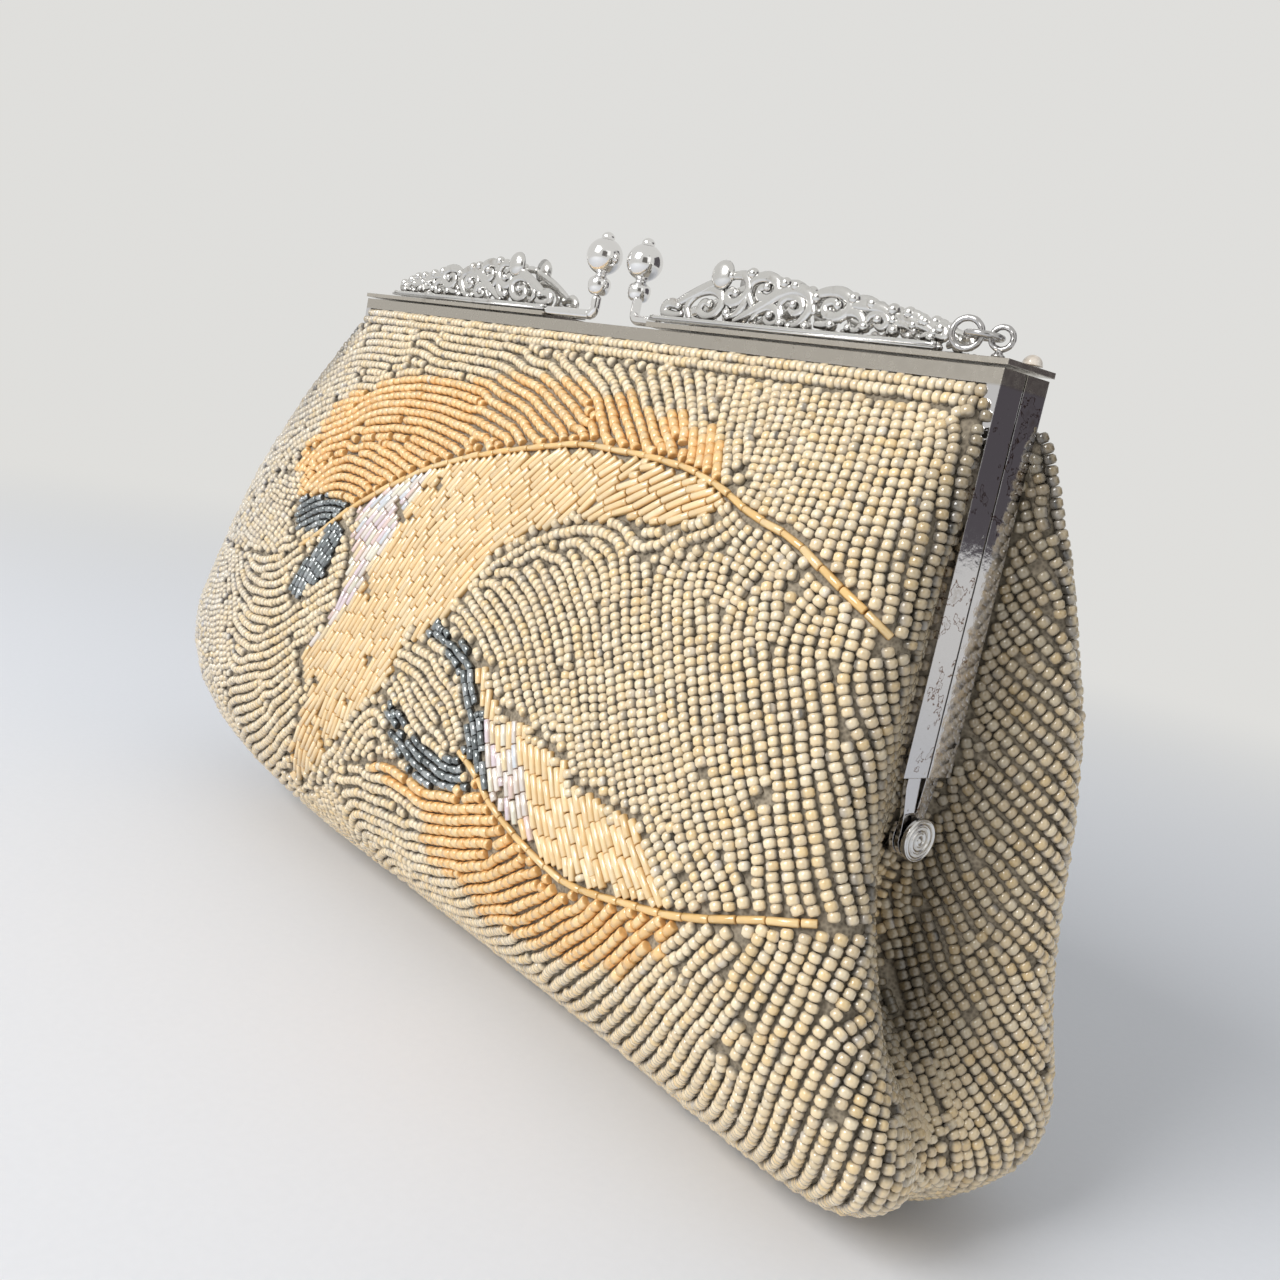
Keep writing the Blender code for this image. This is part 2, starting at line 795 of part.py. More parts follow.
split_upper = hinge_height + half_gap
split_lower = hinge_height - half_gap
lining_inset = panel_thickness + lining_gap
panel_insets = (0, panel_thickness)
lining_insets = (lining_inset, lining_inset + lining_thickness)
for face_word, face_sign, carrier in (("front", -1, front_hinge), ("back", 1, back_hinge)):
    for part_word, insets, stuff in (
        ("beaded_panel", panel_insets, beads),
        ("lining", lining_insets, cloth),
    ):
        make_shell(
            f"{face_word}_{part_word}_upper",
            shell_top,
            split_upper,
            upper_row_shares,
            face_sign,
            insets,
            stuff,
            carrier,
        )
        make_shell(
            f"{face_word}_{part_word}_lower",
            split_lower,
            0,
            lower_row_shares,
            face_sign,
            insets,
            stuff,
        )
make_gusset("right_gusset", 1, beads)
make_gusset("left_gusset", -1, beads)
make_pocket(lining_inset + lining_thickness + fit_gap, cloth)
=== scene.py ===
# Beaded evening bag on a hinged metal frame. Lengths in the tables are in millimetres unless said.
import bmesh
import bpy
import math
import random
import numpy as np
from mathutils import Matrix, Vector
from mathutils.kdtree import KDTree


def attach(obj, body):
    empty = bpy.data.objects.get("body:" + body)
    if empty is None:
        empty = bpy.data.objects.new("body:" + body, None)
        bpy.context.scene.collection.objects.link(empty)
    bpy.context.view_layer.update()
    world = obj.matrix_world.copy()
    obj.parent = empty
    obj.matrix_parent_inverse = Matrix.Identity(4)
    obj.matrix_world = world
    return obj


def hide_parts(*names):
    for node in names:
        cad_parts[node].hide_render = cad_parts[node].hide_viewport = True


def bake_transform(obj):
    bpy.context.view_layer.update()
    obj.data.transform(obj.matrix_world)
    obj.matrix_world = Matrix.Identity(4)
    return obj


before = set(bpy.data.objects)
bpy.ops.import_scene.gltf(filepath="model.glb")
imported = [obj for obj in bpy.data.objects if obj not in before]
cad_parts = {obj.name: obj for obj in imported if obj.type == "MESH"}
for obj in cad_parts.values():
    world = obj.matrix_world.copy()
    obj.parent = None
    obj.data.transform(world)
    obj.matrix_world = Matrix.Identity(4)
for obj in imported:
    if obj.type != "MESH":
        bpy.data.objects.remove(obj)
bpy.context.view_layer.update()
mm = 0.001
random.seed(11)
dice = np.random.default_rng(11)
print("frame loaded", len(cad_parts), "nodes")

# Camera

viewpoint = {
    "aim": (25.81, 0, 67.32),
    "distance": 225.46,
    "turn": 0.87790,    # radians from the front towards the right end
    "height": 0.16092,  # radians above level
    "roll": 0.20368,    # radians
    "lens": 36.16,
}


def makeCamera():
    turn, height, roll = viewpoint["turn"], viewpoint["height"], viewpoint["roll"]
    back = Vector((math.sin(turn) * math.cos(height), -math.cos(turn) * math.cos(height), math.sin(height)))
    right = (-back).cross(Vector((0, 0, 1))).normalized()
    up = right.cross(-back)
    axisX = right * math.cos(roll) + up * math.sin(roll)
    axisY = up * math.cos(roll) - right * math.sin(roll)
    data = bpy.data.cameras.new("photoView")
    data.lens = viewpoint["lens"]
    data.sensor_width = 36
    data.clip_start = 0.005
    camera = bpy.data.objects.new("photoView", data)
    matrix = Matrix((axisX, axisY, back)).transposed().to_4x4()
    matrix.translation = (Vector(viewpoint["aim"]) + back * viewpoint["distance"]) * mm
    camera.matrix_world = matrix
    bpy.context.scene.collection.objects.link(camera)
    bpy.context.scene.camera = camera


makeCamera()
bpy.context.scene.view_settings.view_transform = "Standard"

# Shader helpers


def newGroup(name, inputs, outputs):
    # inputs are (name, socket type, default) rows, outputs (name, socket type)
    tree = bpy.data.node_groups.new(name, "ShaderNodeTree")
    for label, kind, value in inputs:
        socket = tree.interface.new_socket(name=label, in_out="INPUT", socket_type=kind)
        socket.default_value = value
    for label, kind in outputs:
        tree.interface.new_socket(name=label, in_out="OUTPUT", socket_type=kind)
    return tree, tree.nodes.new("NodeGroupInput"), tree.nodes.new("NodeGroupOutput")


def setOrLink(tree, target, value):
    if isinstance(value, bpy.types.NodeSocket):
        tree.links.new(value, target)
    else:
        target.default_value = value


def addNode(tree, kind, links=(), **settings):
    node = tree.nodes.new(kind)
    for name, value in settings.items():
        setattr(node, name, value)
    for socket, value in links:
        setOrLink(tree, node.inputs[socket], value)
    return node


def calculate(tree, operation, *values):
    return addNode(tree, "ShaderNodeMath", list(enumerate(values)), operation=operation).outputs[0]


def stretch(tree, value, fromLow, fromHigh, toLow=0.0, toHigh=1.0):
    values = [value, fromLow, fromHigh, toLow, toHigh]
    return addNode(tree, "ShaderNodeMapRange", list(enumerate(values))).outputs[0]


def mixColor(tree, share, first, second, blend="MIX"):
    node = tree.nodes.new("ShaderNodeMix")
    node.data_type = "RGBA"
    node.blend_type = blend
    for socket, value in ((0, share), (6, first), (7, second)):
        setOrLink(tree, node.inputs[socket], value)
    return node.outputs[2]


def objectPlace(tree):
    return addNode(tree, "ShaderNodeTexCoord").outputs["Object"]


def noise(tree, place, scale, detail, **more):
    links = [("Vector", place), ("Scale", scale), ("Detail", detail)]
    links += [(label.title(), value) for label, value in more.items()]
    return addNode(tree, "ShaderNodeTexNoise", links).outputs[0]


def addBump(tree, shader, height, strength, depth, under=None):
    # depth in metres
    links = [("Height", height), ("Strength", strength), ("Distance", depth)]
    relief = addNode(tree, "ShaderNodeBump", links)
    if under is not None:
        tree.links.new(under, relief.inputs["Normal"])
    tree.links.new(relief.outputs[0], shader.inputs["Normal"])


def newMaterial(name, **values):
    material = bpy.data.materials.new(name)
    material.use_nodes = True
    shader = material.node_tree.nodes["Principled BSDF"]
    for label, value in values.items():
        shader.inputs[label.replace("_", " ")].default_value = value
    return material, material.node_tree, shader


# Plated metal

tarnish = {
    "cloudScale": 160.0, "cloudDetail": 5.0, "cloudRoughness": 0.65, "bloomFrom": 0.72, "bloomTo": 0.78,
    "spotScale": 1500.0, "spotDetail": 3.0, "pitFrom": 0.78, "pitTo": 0.80,
    "rubScale": 900.0, "rubDetail": 6.0, "tideAt": 0.60, "tideWidth": (0.004, 0.010),
    "bloomDulls": 0.10, "pitColor": (0.05, 0.045, 0.04, 1), "bumpDepth": 0.0002,
}
polish = {
    # below the bar the arms are polished, with tide marks
    "fade": 0.0002, "color": (0.68, 0.67, 0.68, 1), "mark": (0.20, 0.13, 0.10, 1), "smoother": -0.75,
}
# painted shade: ambient occlusion darkens crevices towards this near-black colour, for dark tarnish in the
# hollows and the shade between the scrolls
creviceTarnishAndShade = {"color": (0.07, 0.06, 0.05, 1), "from": 0.25, "to": 0.75, "samples": 6, "bevelSamples": 4}


def makeTarnishGroup():
    # masks of brown bloom, small black pits, fine rub marks and tide lines
    tree, given, out = newGroup(
        "plateTarnish",
        [("Bloom", "NodeSocketFloat", 0.4), ("Pits", "NodeSocketFloat", 0.3)],
        [(label, "NodeSocketFloat") for label in ("Bloom Mask", "Pit Mask", "Rub", "Tide Line")],
    )
    t = tarnish
    place = objectPlace(tree)
    cloud = noise(tree, place, t["cloudScale"], t["cloudDetail"], roughness=t["cloudRoughness"])
    bloomLow = calculate(tree, "SUBTRACT", t["bloomFrom"], given.outputs["Bloom"])
    spots = noise(tree, place, t["spotScale"], t["spotDetail"])
    pitLow = calculate(tree, "SUBTRACT", t["pitFrom"], given.outputs["Pits"])
    away = calculate(tree, "ABSOLUTE", calculate(tree, "SUBTRACT", cloud, t["tideAt"]))
    for socket, value in zip(out.inputs, (
        stretch(tree, cloud, bloomLow, t["bloomTo"]),
        stretch(tree, spots, pitLow, t["pitTo"]),
        noise(tree, place, t["rubScale"], t["rubDetail"]),
        stretch(tree, away, *t["tideWidth"], 1.0, 0.0),
    )):
        tree.links.new(value, socket)
    return tree


tarnishGroup = makeTarnishGroup()


def makeMetal(
    name, bright, brown, smooth, rough, bloom, pits, bevel=0.0, bump=0.06, creviceTarnishAndShadeWidth=0.0, polishedBelow=None,
):
    # colour clean and tarnished, roughness where smooth and rough, shares of bloom and pits; bevel is a width
    # in mm, creviceTarnishAndShadeWidth is the reach in mm of dark tarnish and painted shade in crevices,
    # polishedBelow is a height in metres
    material, tree, shader = newMaterial(name, Metallic=1.0)
    wear = addNode(tree, "ShaderNodeGroup", [], node_tree=tarnishGroup)
    wear.inputs["Bloom"].default_value = bloom
    wear.inputs["Pits"].default_value = pits
    bloomMask, pitMask, rub = wear.outputs["Bloom Mask"], wear.outputs["Pit Mask"], wear.outputs["Rub"]
    gloss = stretch(tree, rub, 0.3, 0.7, smooth, rough)
    clean = (*bright, 1)
    if polishedBelow:
        height = addNode(tree, "ShaderNodeSeparateXYZ", [(0, objectPlace(tree))]).outputs[2]
        below = stretch(tree, height, polishedBelow + polish["fade"], polishedBelow - polish["fade"])
        clean = mixColor(tree, below, clean, polish["color"])
        marks = calculate(tree, "MULTIPLY", below, wear.outputs["Tide Line"])
        clean = mixColor(tree, marks, clean, polish["mark"])
        keep = calculate(tree, "MULTIPLY_ADD", below, polish["smoother"], 1.0)
        gloss = calculate(tree, "MULTIPLY", gloss, keep)
    plate = mixColor(tree, bloomMask, clean, (*brown, 1))
    color = mixColor(tree, pitMask, plate, tarnish["pitColor"])
    # painted shade: occluded crevices turn near black, standing for dark tarnish in the hollows and the shade
    # that falls between the scrolls
    if creviceTarnishAndShadeWidth:
        reach, samples = creviceTarnishAndShadeWidth * mm, creviceTarnishAndShade["samples"]
        gap = addNode(tree, "ShaderNodeAmbientOcclusion", [("Distance", reach)], samples=samples)
        seen = stretch(tree, gap.outputs["AO"], creviceTarnishAndShade["from"], creviceTarnishAndShade["to"])
        color = mixColor(tree, seen, creviceTarnishAndShade["color"], color)
    tree.links.new(color, shader.inputs["Base Color"])
    dull = calculate(tree, "MULTIPLY_ADD", bloomMask, tarnish["bloomDulls"], gloss)
    tree.links.new(dull, shader.inputs["Roughness"])
    edge = None
    if bevel:
        samples = creviceTarnishAndShade["bevelSamples"]
        edge = addNode(tree, "ShaderNodeBevel", [("Radius", bevel * mm)], samples=samples).outputs[0]
    addBump(tree, shader, calculate(tree, "SUBTRACT", rub, pitMask), bump, tarnish["bumpDepth"], edge)
    return material


satinPlate = makeMetal(
    "satinPlate", (0.56, 0.52, 0.46), (0.30, 0.26, 0.21), 0.18, 0.30, 0.12, 0.06, bevel=0.18, bump=0.15,
)
framePlate = makeMetal(
    "framePlate", (0.51, 0.475, 0.42), (0.34, 0.28, 0.22), 0.18, 0.30, 0.10, 0.06,
    bevel=0.18, bump=0.08, polishedBelow=0.1178,
)
mirrorPlate = makeMetal("mirrorPlate", (0.82, 0.81, 0.80), (0.50, 0.45, 0.40), 0.07, 0.16, 0.10, 0.03)
# cast scrollwork, with painted shade and dark tarnish in its crevices
castPlate = makeMetal(
    "castPlate", (0.72, 0.71, 0.69), (0.42, 0.38, 0.34), 0.14, 0.26, 0.12, 0.05, bump=0.12, creviceTarnishAndShadeWidth=2.4,
)
wireSteel = makeMetal("wireSteel", (0.50, 0.49, 0.485), (0.36, 0.33, 0.30), 0.12, 0.28, 0.16, 0.08, bump=0.10)

# Glass of the beads, and cloths

glassLook = {
    "darker": (0.62, 0.60, 0.56, 1), "cloudScale": 900.0, "cloudDetail": 3.0, "cloudRoughens": 0.14,
    "coatRoughness": 0.06, "filmIndex": 1.6, "bump": 0.08, "bumpDepth": 0.0001,
}
clothLook = {"cloudScale": 60.0, "cloudDetail": 4.0, "from": 0.05, "to": 0.45, "bumpDepth": 0.0002}


def makeBeadGroup():
    # each bead's own tint, with a little cloud in the glass
    tree, given, out = newGroup(
        "beadGlass",
        [("Cloud", "NodeSocketFloat", 0.2), ("Smooth", "NodeSocketFloat", 0.1)],
        [("Color", "NodeSocketColor"), ("Roughness", "NodeSocketFloat"), ("Height", "NodeSocketFloat")],
    )
    tint = addNode(tree, "ShaderNodeAttribute", attribute_name="tint").outputs["Color"]
    cloud = noise(tree, objectPlace(tree), glassLook["cloudScale"], glassLook["cloudDetail"])
    darker = mixColor(tree, 1.0, tint, glassLook["darker"], "MULTIPLY")
    spread = calculate(tree, "MULTIPLY", cloud, given.outputs["Cloud"])
    rough = calculate(tree, "MULTIPLY_ADD", cloud, glassLook["cloudRoughens"], given.outputs["Smooth"])
    for socket, value in zip(out.inputs, (mixColor(tree, spread, tint, darker), rough, cloud)):
        tree.links.new(value, socket)
    return tree


beadGroup = makeBeadGroup()


def makeGlass(name, cloud, smooth, coat, metallic, film):
    # film is the thickness of a thin colour film, in nanometres
    coats = {"Coat_Weight": coat, "Coat_Roughness": glassLook["coatRoughness"]}
    material, tree, shader = newMaterial(name, Metallic=metallic, **coats)
    if film:
        shader.inputs["Thin Film Thickness"].default_value = film
        shader.inputs["Thin Film IOR"].default_value = glassLook["filmIndex"]
    glass = addNode(tree, "ShaderNodeGroup", [], node_tree=beadGroup)
    glass.inputs["Cloud"].default_value = cloud
    glass.inputs["Smooth"].default_value = smooth
    tree.links.new(glass.outputs["Color"], shader.inputs["Base Color"])
    tree.links.new(glass.outputs["Roughness"], shader.inputs["Roughness"])
    addBump(tree, shader, glass.outputs["Height"], glassLook["bump"], glassLook["bumpDepth"])
    return material


def makeClothMaterial(name, dark, light, weaveScale, roughness, sheen, bump):
    material, tree, shader = newMaterial(name, Roughness=roughness, Sheen_Weight=sheen)
    place = objectPlace(tree)
    weave = addNode(tree, "ShaderNodeTexVoronoi", [("Vector", place), ("Scale", weaveScale)]).outputs[0]
    cloud = noise(tree, place, clothLook["cloudScale"], clothLook["cloudDetail"])
    wide = stretch(tree, calculate(tree, "MULTIPLY", weave, cloud), clothLook["from"], clothLook["to"])
    tree.links.new(mixColor(tree, wide, (*dark, 1), (*light, 1)), shader.inputs["Base Color"])
    addBump(tree, shader, weave, bump, clothLook["bumpDepth"])
    return material


beadNet = makeClothMaterial("beadNet", (0.17, 0.14, 0.10), (0.38, 0.32, 0.235), 1800.0, 0.9, 0.0, 0.4)
liningSatin = makeClothMaterial("liningSatin", (0.50, 0.42, 0.30), (0.68, 0.60, 0.46), 2600.0, 0.45, 0.3, 0.1)
cordThread = makeClothMaterial("cordThread", (0.34, 0.30, 0.24), (0.60, 0.56, 0.47), 3000.0, 0.9, 0.2, 0.5)

beadKinds = {
    # pitch along the thread, spacing between threads, radius and length of one bead; colours in linear
    # light; glass: name, cloud, smoothest roughness, coat, metallic share, thin film
    "cream": {"pitch": 1.46, "spacing": 1.78, "radius": 0.96, "length": 1.45, "round": True, "rise": 0.45,
              "core": [(0.90, 0.72, 0.455), (0.86, 0.68, 0.43), (0.92, 0.77, 0.53), (0.89, 0.67, 0.365)],
              "rim": (0.41, 0.365, 0.305), "glass": ("creamGlass", 0.5, 0.08, 0.9, 0.0, 0.0)},
    "amber": {"pitch": 2.10, "spacing": 1.70, "radius": 0.90, "length": 2.04, "round": False, "rise": 0.5,
              "core": [(0.95, 0.63, 0.28), (0.93, 0.58, 0.24), (0.97, 0.70, 0.36)],
              "rim": (0.80, 0.45, 0.16), "glass": ("amberGlass", 0.5, 0.08, 0.9, 0.0, 0.0)},
    "pale": {"pitch": 4.9, "spacing": 1.28, "radius": 0.68, "length": 4.8, "round": False, "rise": 0.5,
             "core": [(0.94, 0.72, 0.42), (0.92, 0.68, 0.37), (0.95, 0.77, 0.49)],
             "rim": (0.72, 0.45, 0.18), "glass": ("paleGlass", 0.5, 0.07, 0.9, 0.0, 0.0)},
    "pearl": {"pitch": 4.1, "spacing": 1.30, "radius": 0.66, "length": 4.0, "round": False, "rise": 0.5,
              "core": [(0.90, 0.82, 0.76), (0.86, 0.72, 0.78), (0.90, 0.86, 0.72), (0.90, 0.68, 0.62),
                       (0.76, 0.80, 0.86), (0.92, 0.74, 0.46)],
              "rim": (0.58, 0.44, 0.34), "glass": ("pearlGlass", 0.3, 0.05, 1.0, 0.15, 420.0)},
    "gun": {"pitch": 2.5, "spacing": 1.42, "radius": 0.76, "length": 2.4, "round": False, "rise": 0.6,
            "core": [(0.25, 0.28, 0.285), (0.33, 0.36, 0.37), (0.17, 0.19, 0.195), (0.48, 0.51, 0.52)],
            "rim": (0.05, 0.05, 0.05), "glass": ("gunGlass", 0.5, 0.06, 0.9, 0.45, 0.0)},
    "gold": {"pitch": 4.6, "spacing": 1.5, "radius": 0.62, "length": 4.5, "round": False, "rise": 0.8,
             "core": [(0.88, 0.60, 0.26), (0.90, 0.66, 0.33), (0.85, 0.56, 0.22)],
             "rim": (0.58, 0.32, 0.10), "glass": ("goldGlass", 0.5, 0.06, 0.9, 0.0, 0.0)},
}
for kind in beadKinds.values():
    kind["material"] = makeGlass(*kind["glass"])
print("materials made")

# Cloth of the pouch

sideWidths = [68, 75, 82, 89, 95, 103, 111, 116, 117.5, 115, 112, 108, 100, 93, 90.2, 89.3]
clothShape = {
    # height over the base, then half widths and depths
    "height": [0, 1.5, 4, 8, 12, 17, 24, 32, 40, 50, 60, 75, 94, 110, 117, 118.6],
    "frontLeftWidth": sideWidths,
    "frontRightWidth": [
        80, 90, 98, 104.5, 108.5, 109.5, 107, 103, 99.5, 96, 93.5, 92.5, 92, 91.5, 90.2, 89.3,
    ],
    "backLeftWidth": sideWidths,
    "backRightWidth": [
        84, 93, 101, 106, 108.5, 109, 107.5, 105, 103.5, 102.5, 102, 100.5, 97, 93.5, 90.4, 89.3,
    ],
    "valleyLeft": [68, 73, 78, 83, 85, 86, 85, 84, 84.5, 87, 89.2, 89.2, 89.2, 89.2, 89.2, 89],
    "valleyRight": [
        79.5, 89.5, 97.5, 103.5, 106.5, 105.5, 99, 90, 85, 86.5, 89.2, 89.2, 89.2, 89.2, 89.2, 89,
    ],
    "edge": [0.2, 0.2, 0.2, 0.2, 0.2, 0.2, 0.2, 0.2, 0.2, 1, 2.2, 3.2, 3.2, 3.4, 3.6, 3.7],
    "frontLeft": [3, 6.5, 11.5, 18, 22.5, 26.5, 29.8, 31, 30.5, 28.5, 26.5, 22.5, 16, 8.2, 4.6, 3.9],
    "frontRight": [2, 4.5, 8.5, 13.5, 17.5, 21, 24, 25.2, 25, 24.5, 23.5, 21, 16, 8.2, 4.6, 3.9],
    "backLeft": [4, 8, 14, 21, 25, 28, 30.5, 31.5, 31, 29.5, 27, 22.5, 16, 8.2, 4.6, 3.9],
    "backRight": [5, 12, 20, 28, 32, 34, 34, 33, 32, 31, 29.5, 26, 18.5, 9, 4.8, 3.9],
}
clothGrain = {
    "floorGap": 1.5, "step": 1.0, "across": 321,
    # rows above and below the height where the base curves in
    "baseHeight": 20, "rowsAbove": 90, "rowsBelow": 40, "underShares": (0.8, 0.6, 0.4, 0.2, 0.02),
    # shares of half width and depth along one half of a row, from the side to the middle
    "roundShares": [(1, 0.5), (0.965, 0.8), (0.80, 0.97), (0.45, 1)],
    # the row starts in the valley and first runs out by these shares, to no more than this depth
    "lipWidthShare": 0.1, "lipDepthShare": 0.3, "lipDepthMost": 2.8,
    "cell": 2.0, "edgeMargin": 1.2, "topMargin": 0.6,
}


def runOf(points):
    # length along the points, up to each
    return np.concatenate([[0], np.cumsum(np.linalg.norm(np.diff(points, axis=0), axis=1))])


def evenly(curve, count):
    run = runOf(curve)
    at = np.linspace(0, run[-1], count)
    return np.stack([np.interp(at, run, curve[:, k]) for k in range(curve.shape[1])], 1)


def smoothCurve(points, count, perSpan=12):
    # Catmull-Rom through the points, evenly sampled in its own length
    p = np.array(points, float)
    p = np.vstack([2 * p[0] - p[1], p, 2 * p[-1] - p[-2]])
    t = np.linspace(0, len(points) - 1 - 1e-9, perSpan * len(points))
    i = t.astype(int)
    f = (t - i)[:, None]
    a, b, c, d = p[i], p[i + 1], p[i + 2], p[i + 3]
    curve = 2 * b + (c - a) * f + (2 * a - 5 * b + 4 * c - d) * f**2 + (3 * b - a - 3 * c + d) * f**3
    return evenly(curve / 2, count)


def clothRow(face, height, across):
    size = {k: np.interp(height, clothShape["height"], v) for k, v in clothShape.items()}
    edge = size["edge"]
    g = clothGrain
    halves = []
    for side, word in ((1, "Right"), (-1, "Left")):
        wide, deep, valley = size[face + word + "Width"], size[face + word] - edge, size["valley" + word]
        lip = edge + min(g["lipDepthMost"], g["lipDepthShare"] * deep)
        half = [(side * valley, edge), (side * (valley + g["lipWidthShare"] * (wide - valley)), lip)]
        halves.append(half + [(side * wide * a, edge + b * deep) for a, b in g["roundShares"]])
    right, left = halves
    middle = (0, (right[-1][1] + left[-1][1]) / 2)
    return smoothCurve(right + [middle] + left[::-1], across)


def clothGrid(face):
    # rows from the bar down and under the base, columns from right to left; evenly spaced in both ways
    g = clothGrain
    sign = -1 if face == "front" else 1
    top, lift, across = clothShape["height"][-1], g["floorGap"], g["across"]
    above = np.linspace(top, g["baseHeight"], g["rowsAbove"])
    below = np.linspace(g["baseHeight"], 0, g["rowsBelow"])[1:]
    rows = []
    for h in np.concatenate([above, below]):
        flat = clothRow(face, h, across)
        rows.append(np.column_stack([flat, np.full(across, lift + h * (top - lift) / top)]))
    rows += [rows[-1] * [1, keep, 1] for keep in g["underShares"]]
    grid = np.array(rows)
    middle = grid[:, across // 2]
    run = runOf(middle)
    count = int(run[-1] / g["step"]) + 1
    at = np.linspace(0, run[-1], count)
    even = np.empty((count, across, 3))
    for k in range(across):
        for axis in range(3):
            even[:, k, axis] = np.interp(at, run, grid[:, k, axis])
    even = np.array([evenly(row, across) for row in even])
    widths = np.linalg.norm(np.diff(even, axis=1), axis=2).sum(1)
    even[:, :, 1] *= sign
    return even, at, widths, sign


class Panel:
    # one side of the pouch; s runs along a row from the middle to the right, v runs down from the bar
    def __init__(self, face):
        self.points, drop, self.width, self.sign = clothGrid(face)
        self.rows, self.across = self.points.shape[:2]
        self.step, self.depth = drop[1], drop[-1]
        along = np.gradient(self.points, axis=1)
        down = np.gradient(self.points, axis=0)
        normal = np.cross(along, down) * -self.sign
        self.normals = normal / (np.linalg.norm(normal, axis=2, keepdims=True) + 1e-9)
        self.makeMetric()

    def half(self, v):
        return np.interp(v, self.step * np.arange(self.rows), self.width) / 2

    def sample(self, table, s, v):
        row = np.clip(np.asarray(v) / self.step, 0, self.rows - 1.001)
        i = row.astype(int)
        f = row - i
        width = self.width[i] * (1 - f) + self.width[i + 1] * f
        column = np.clip((0.5 - np.asarray(s) / width) * (self.across - 1), 0, self.across - 1.001)
        k = column.astype(int)
        f, g = f[..., None], (column - k)[..., None]
        near = table[i, k] * (1 - g) + table[i, k + 1] * g
        far = table[i + 1, k] * (1 - g) + table[i + 1, k + 1] * g
        return near * (1 - f) + far * f

    def place(self, s, v):
        return self.sample(self.points, s, v)

    def normal(self, s, v):
        n = self.sample(self.normals, s, v)
        return n / np.linalg.norm(n, axis=-1, keepdims=True)

    def makeMetric(self, low=-170.0, wide=171):
        # length of a small move (ds, dv) on the cloth, on a raster
        cell, margin, edge = clothGrain["cell"], clothGrain["topMargin"], clothGrain["edgeMargin"]
        self.low, self.cellsWide, self.cellsDeep = low, wide, int(self.depth / cell) + 2
        down = cell * np.arange(self.cellsDeep)
        s, v = np.meshgrid(low + cell * np.arange(wide), np.clip(down, margin, self.depth - margin))
        half = self.half(v)
        inside = np.clip(s, edge - half, half - edge)
        ds = self.place(inside + 0.5, v) - self.place(inside - 0.5, v)
        dv = self.place(inside, v + 0.5) - self.place(inside, v - 0.5)
        self.metricE = (ds * ds).sum(2).clip(0.5, 1.5).tolist()
        self.metricF = (ds * dv).sum(2).tolist()
        self.metricG = (dv * dv).sum(2).clip(0.3, 4).tolist()
        self.halfWidth = self.half(down).tolist()


panels = {"front": Panel("front"), "back": Panel("back")}
print("cloth shaped", {k: p.points.shape for k, p in panels.items()})


def newMesh(name, points, faces, smooth=True):
    mesh = bpy.data.meshes.new(name)
    mesh.from_pydata([tuple(p) for p in points], [], faces)
    if smooth:
        mesh.shade_smooth()
    return mesh


def addObject(name, mesh, material, body=None, replaced=(), slot=None):
    obj = bpy.data.objects.new(name, mesh)
    bpy.context.scene.collection.objects.link(obj)
    mesh.materials.append(material)
    if replaced:
        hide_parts(*replaced)
    if body:
        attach(obj, body)
    return obj


def bendWith(obj, face):
    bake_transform(obj)


def sheetMesh(name, outer, inner):
    # closed sheet between two grids of points
    rows, across = outer.shape[:2]
    points = np.concatenate([outer.reshape(-1, 3), inner.reshape(-1, 3)]) * mm
    size = rows * across
    faces = []
    for i in range(rows - 1):
        for k in range(across - 1):
            a = i * across + k
            faces.append((a, a + 1, a + across + 1, a + across))
            faces.append((size + a, size + a + across, size + a + across + 1, size + a + 1))
    rim = list(range(across)) + [i * across + across - 1 for i in range(1, rows)]
    rim += [(rows - 1) * across + k for k in range(across - 2, -1, -1)]
    rim += [i * across for i in range(rows - 2, 0, -1)]
    faces += [(a, size + a, size + b, b) for a, b in zip(rim, rim[1:] + rim[:1])]
    return newMesh(name, points, faces)


sheets = {
    # depth of the outer and inner face below the cloth's surface
    "bead_cloth": (0, 0.7), "satin_lining": (1.9, 2.4),
    "rowStep": 2, "columnStep": 4, "middleGap": 0.15, "insideShare": 0.7,
}


def insetGrid(panel, depth):
    # inside the front of its own row, and over the base
    points = panel.points - panel.normals * depth
    front = (panel.sign * panel.points[:, :, 1]).max(axis=1, keepdims=True) - sheets["insideShare"] * depth
    within = np.minimum(panel.sign * points[:, :, 1], front)
    points[:, :, 1] = panel.sign * np.maximum(within, sheets["middleGap"])
    points[:, :, 2] = np.maximum(points[:, :, 2], panel.points[:, :, 2].min() + depth)
    return points[::sheets["rowStep"], ::sheets["columnStep"]]


for face, panel in panels.items():
    for title, node, material, slot in (
        ("bead_cloth", "beaded_panel", beadNet, "glass_beads"),
        ("satin_lining", "lining", liningSatin, "lining_satin"),
    ):
        name = f"{face}_{title}"
        outer, inner = (insetGrid(panel, depth) for depth in sheets[title])
        nodes = [f"{face}_{node}_upper", f"{face}_{node}_lower"]
        bendWith(addObject(name, sheetMesh(name, outer, inner), material, None, nodes, slot), face)
print("cloth and lining made")

# Threads of beads: each zone has strokes that show which way its threads run

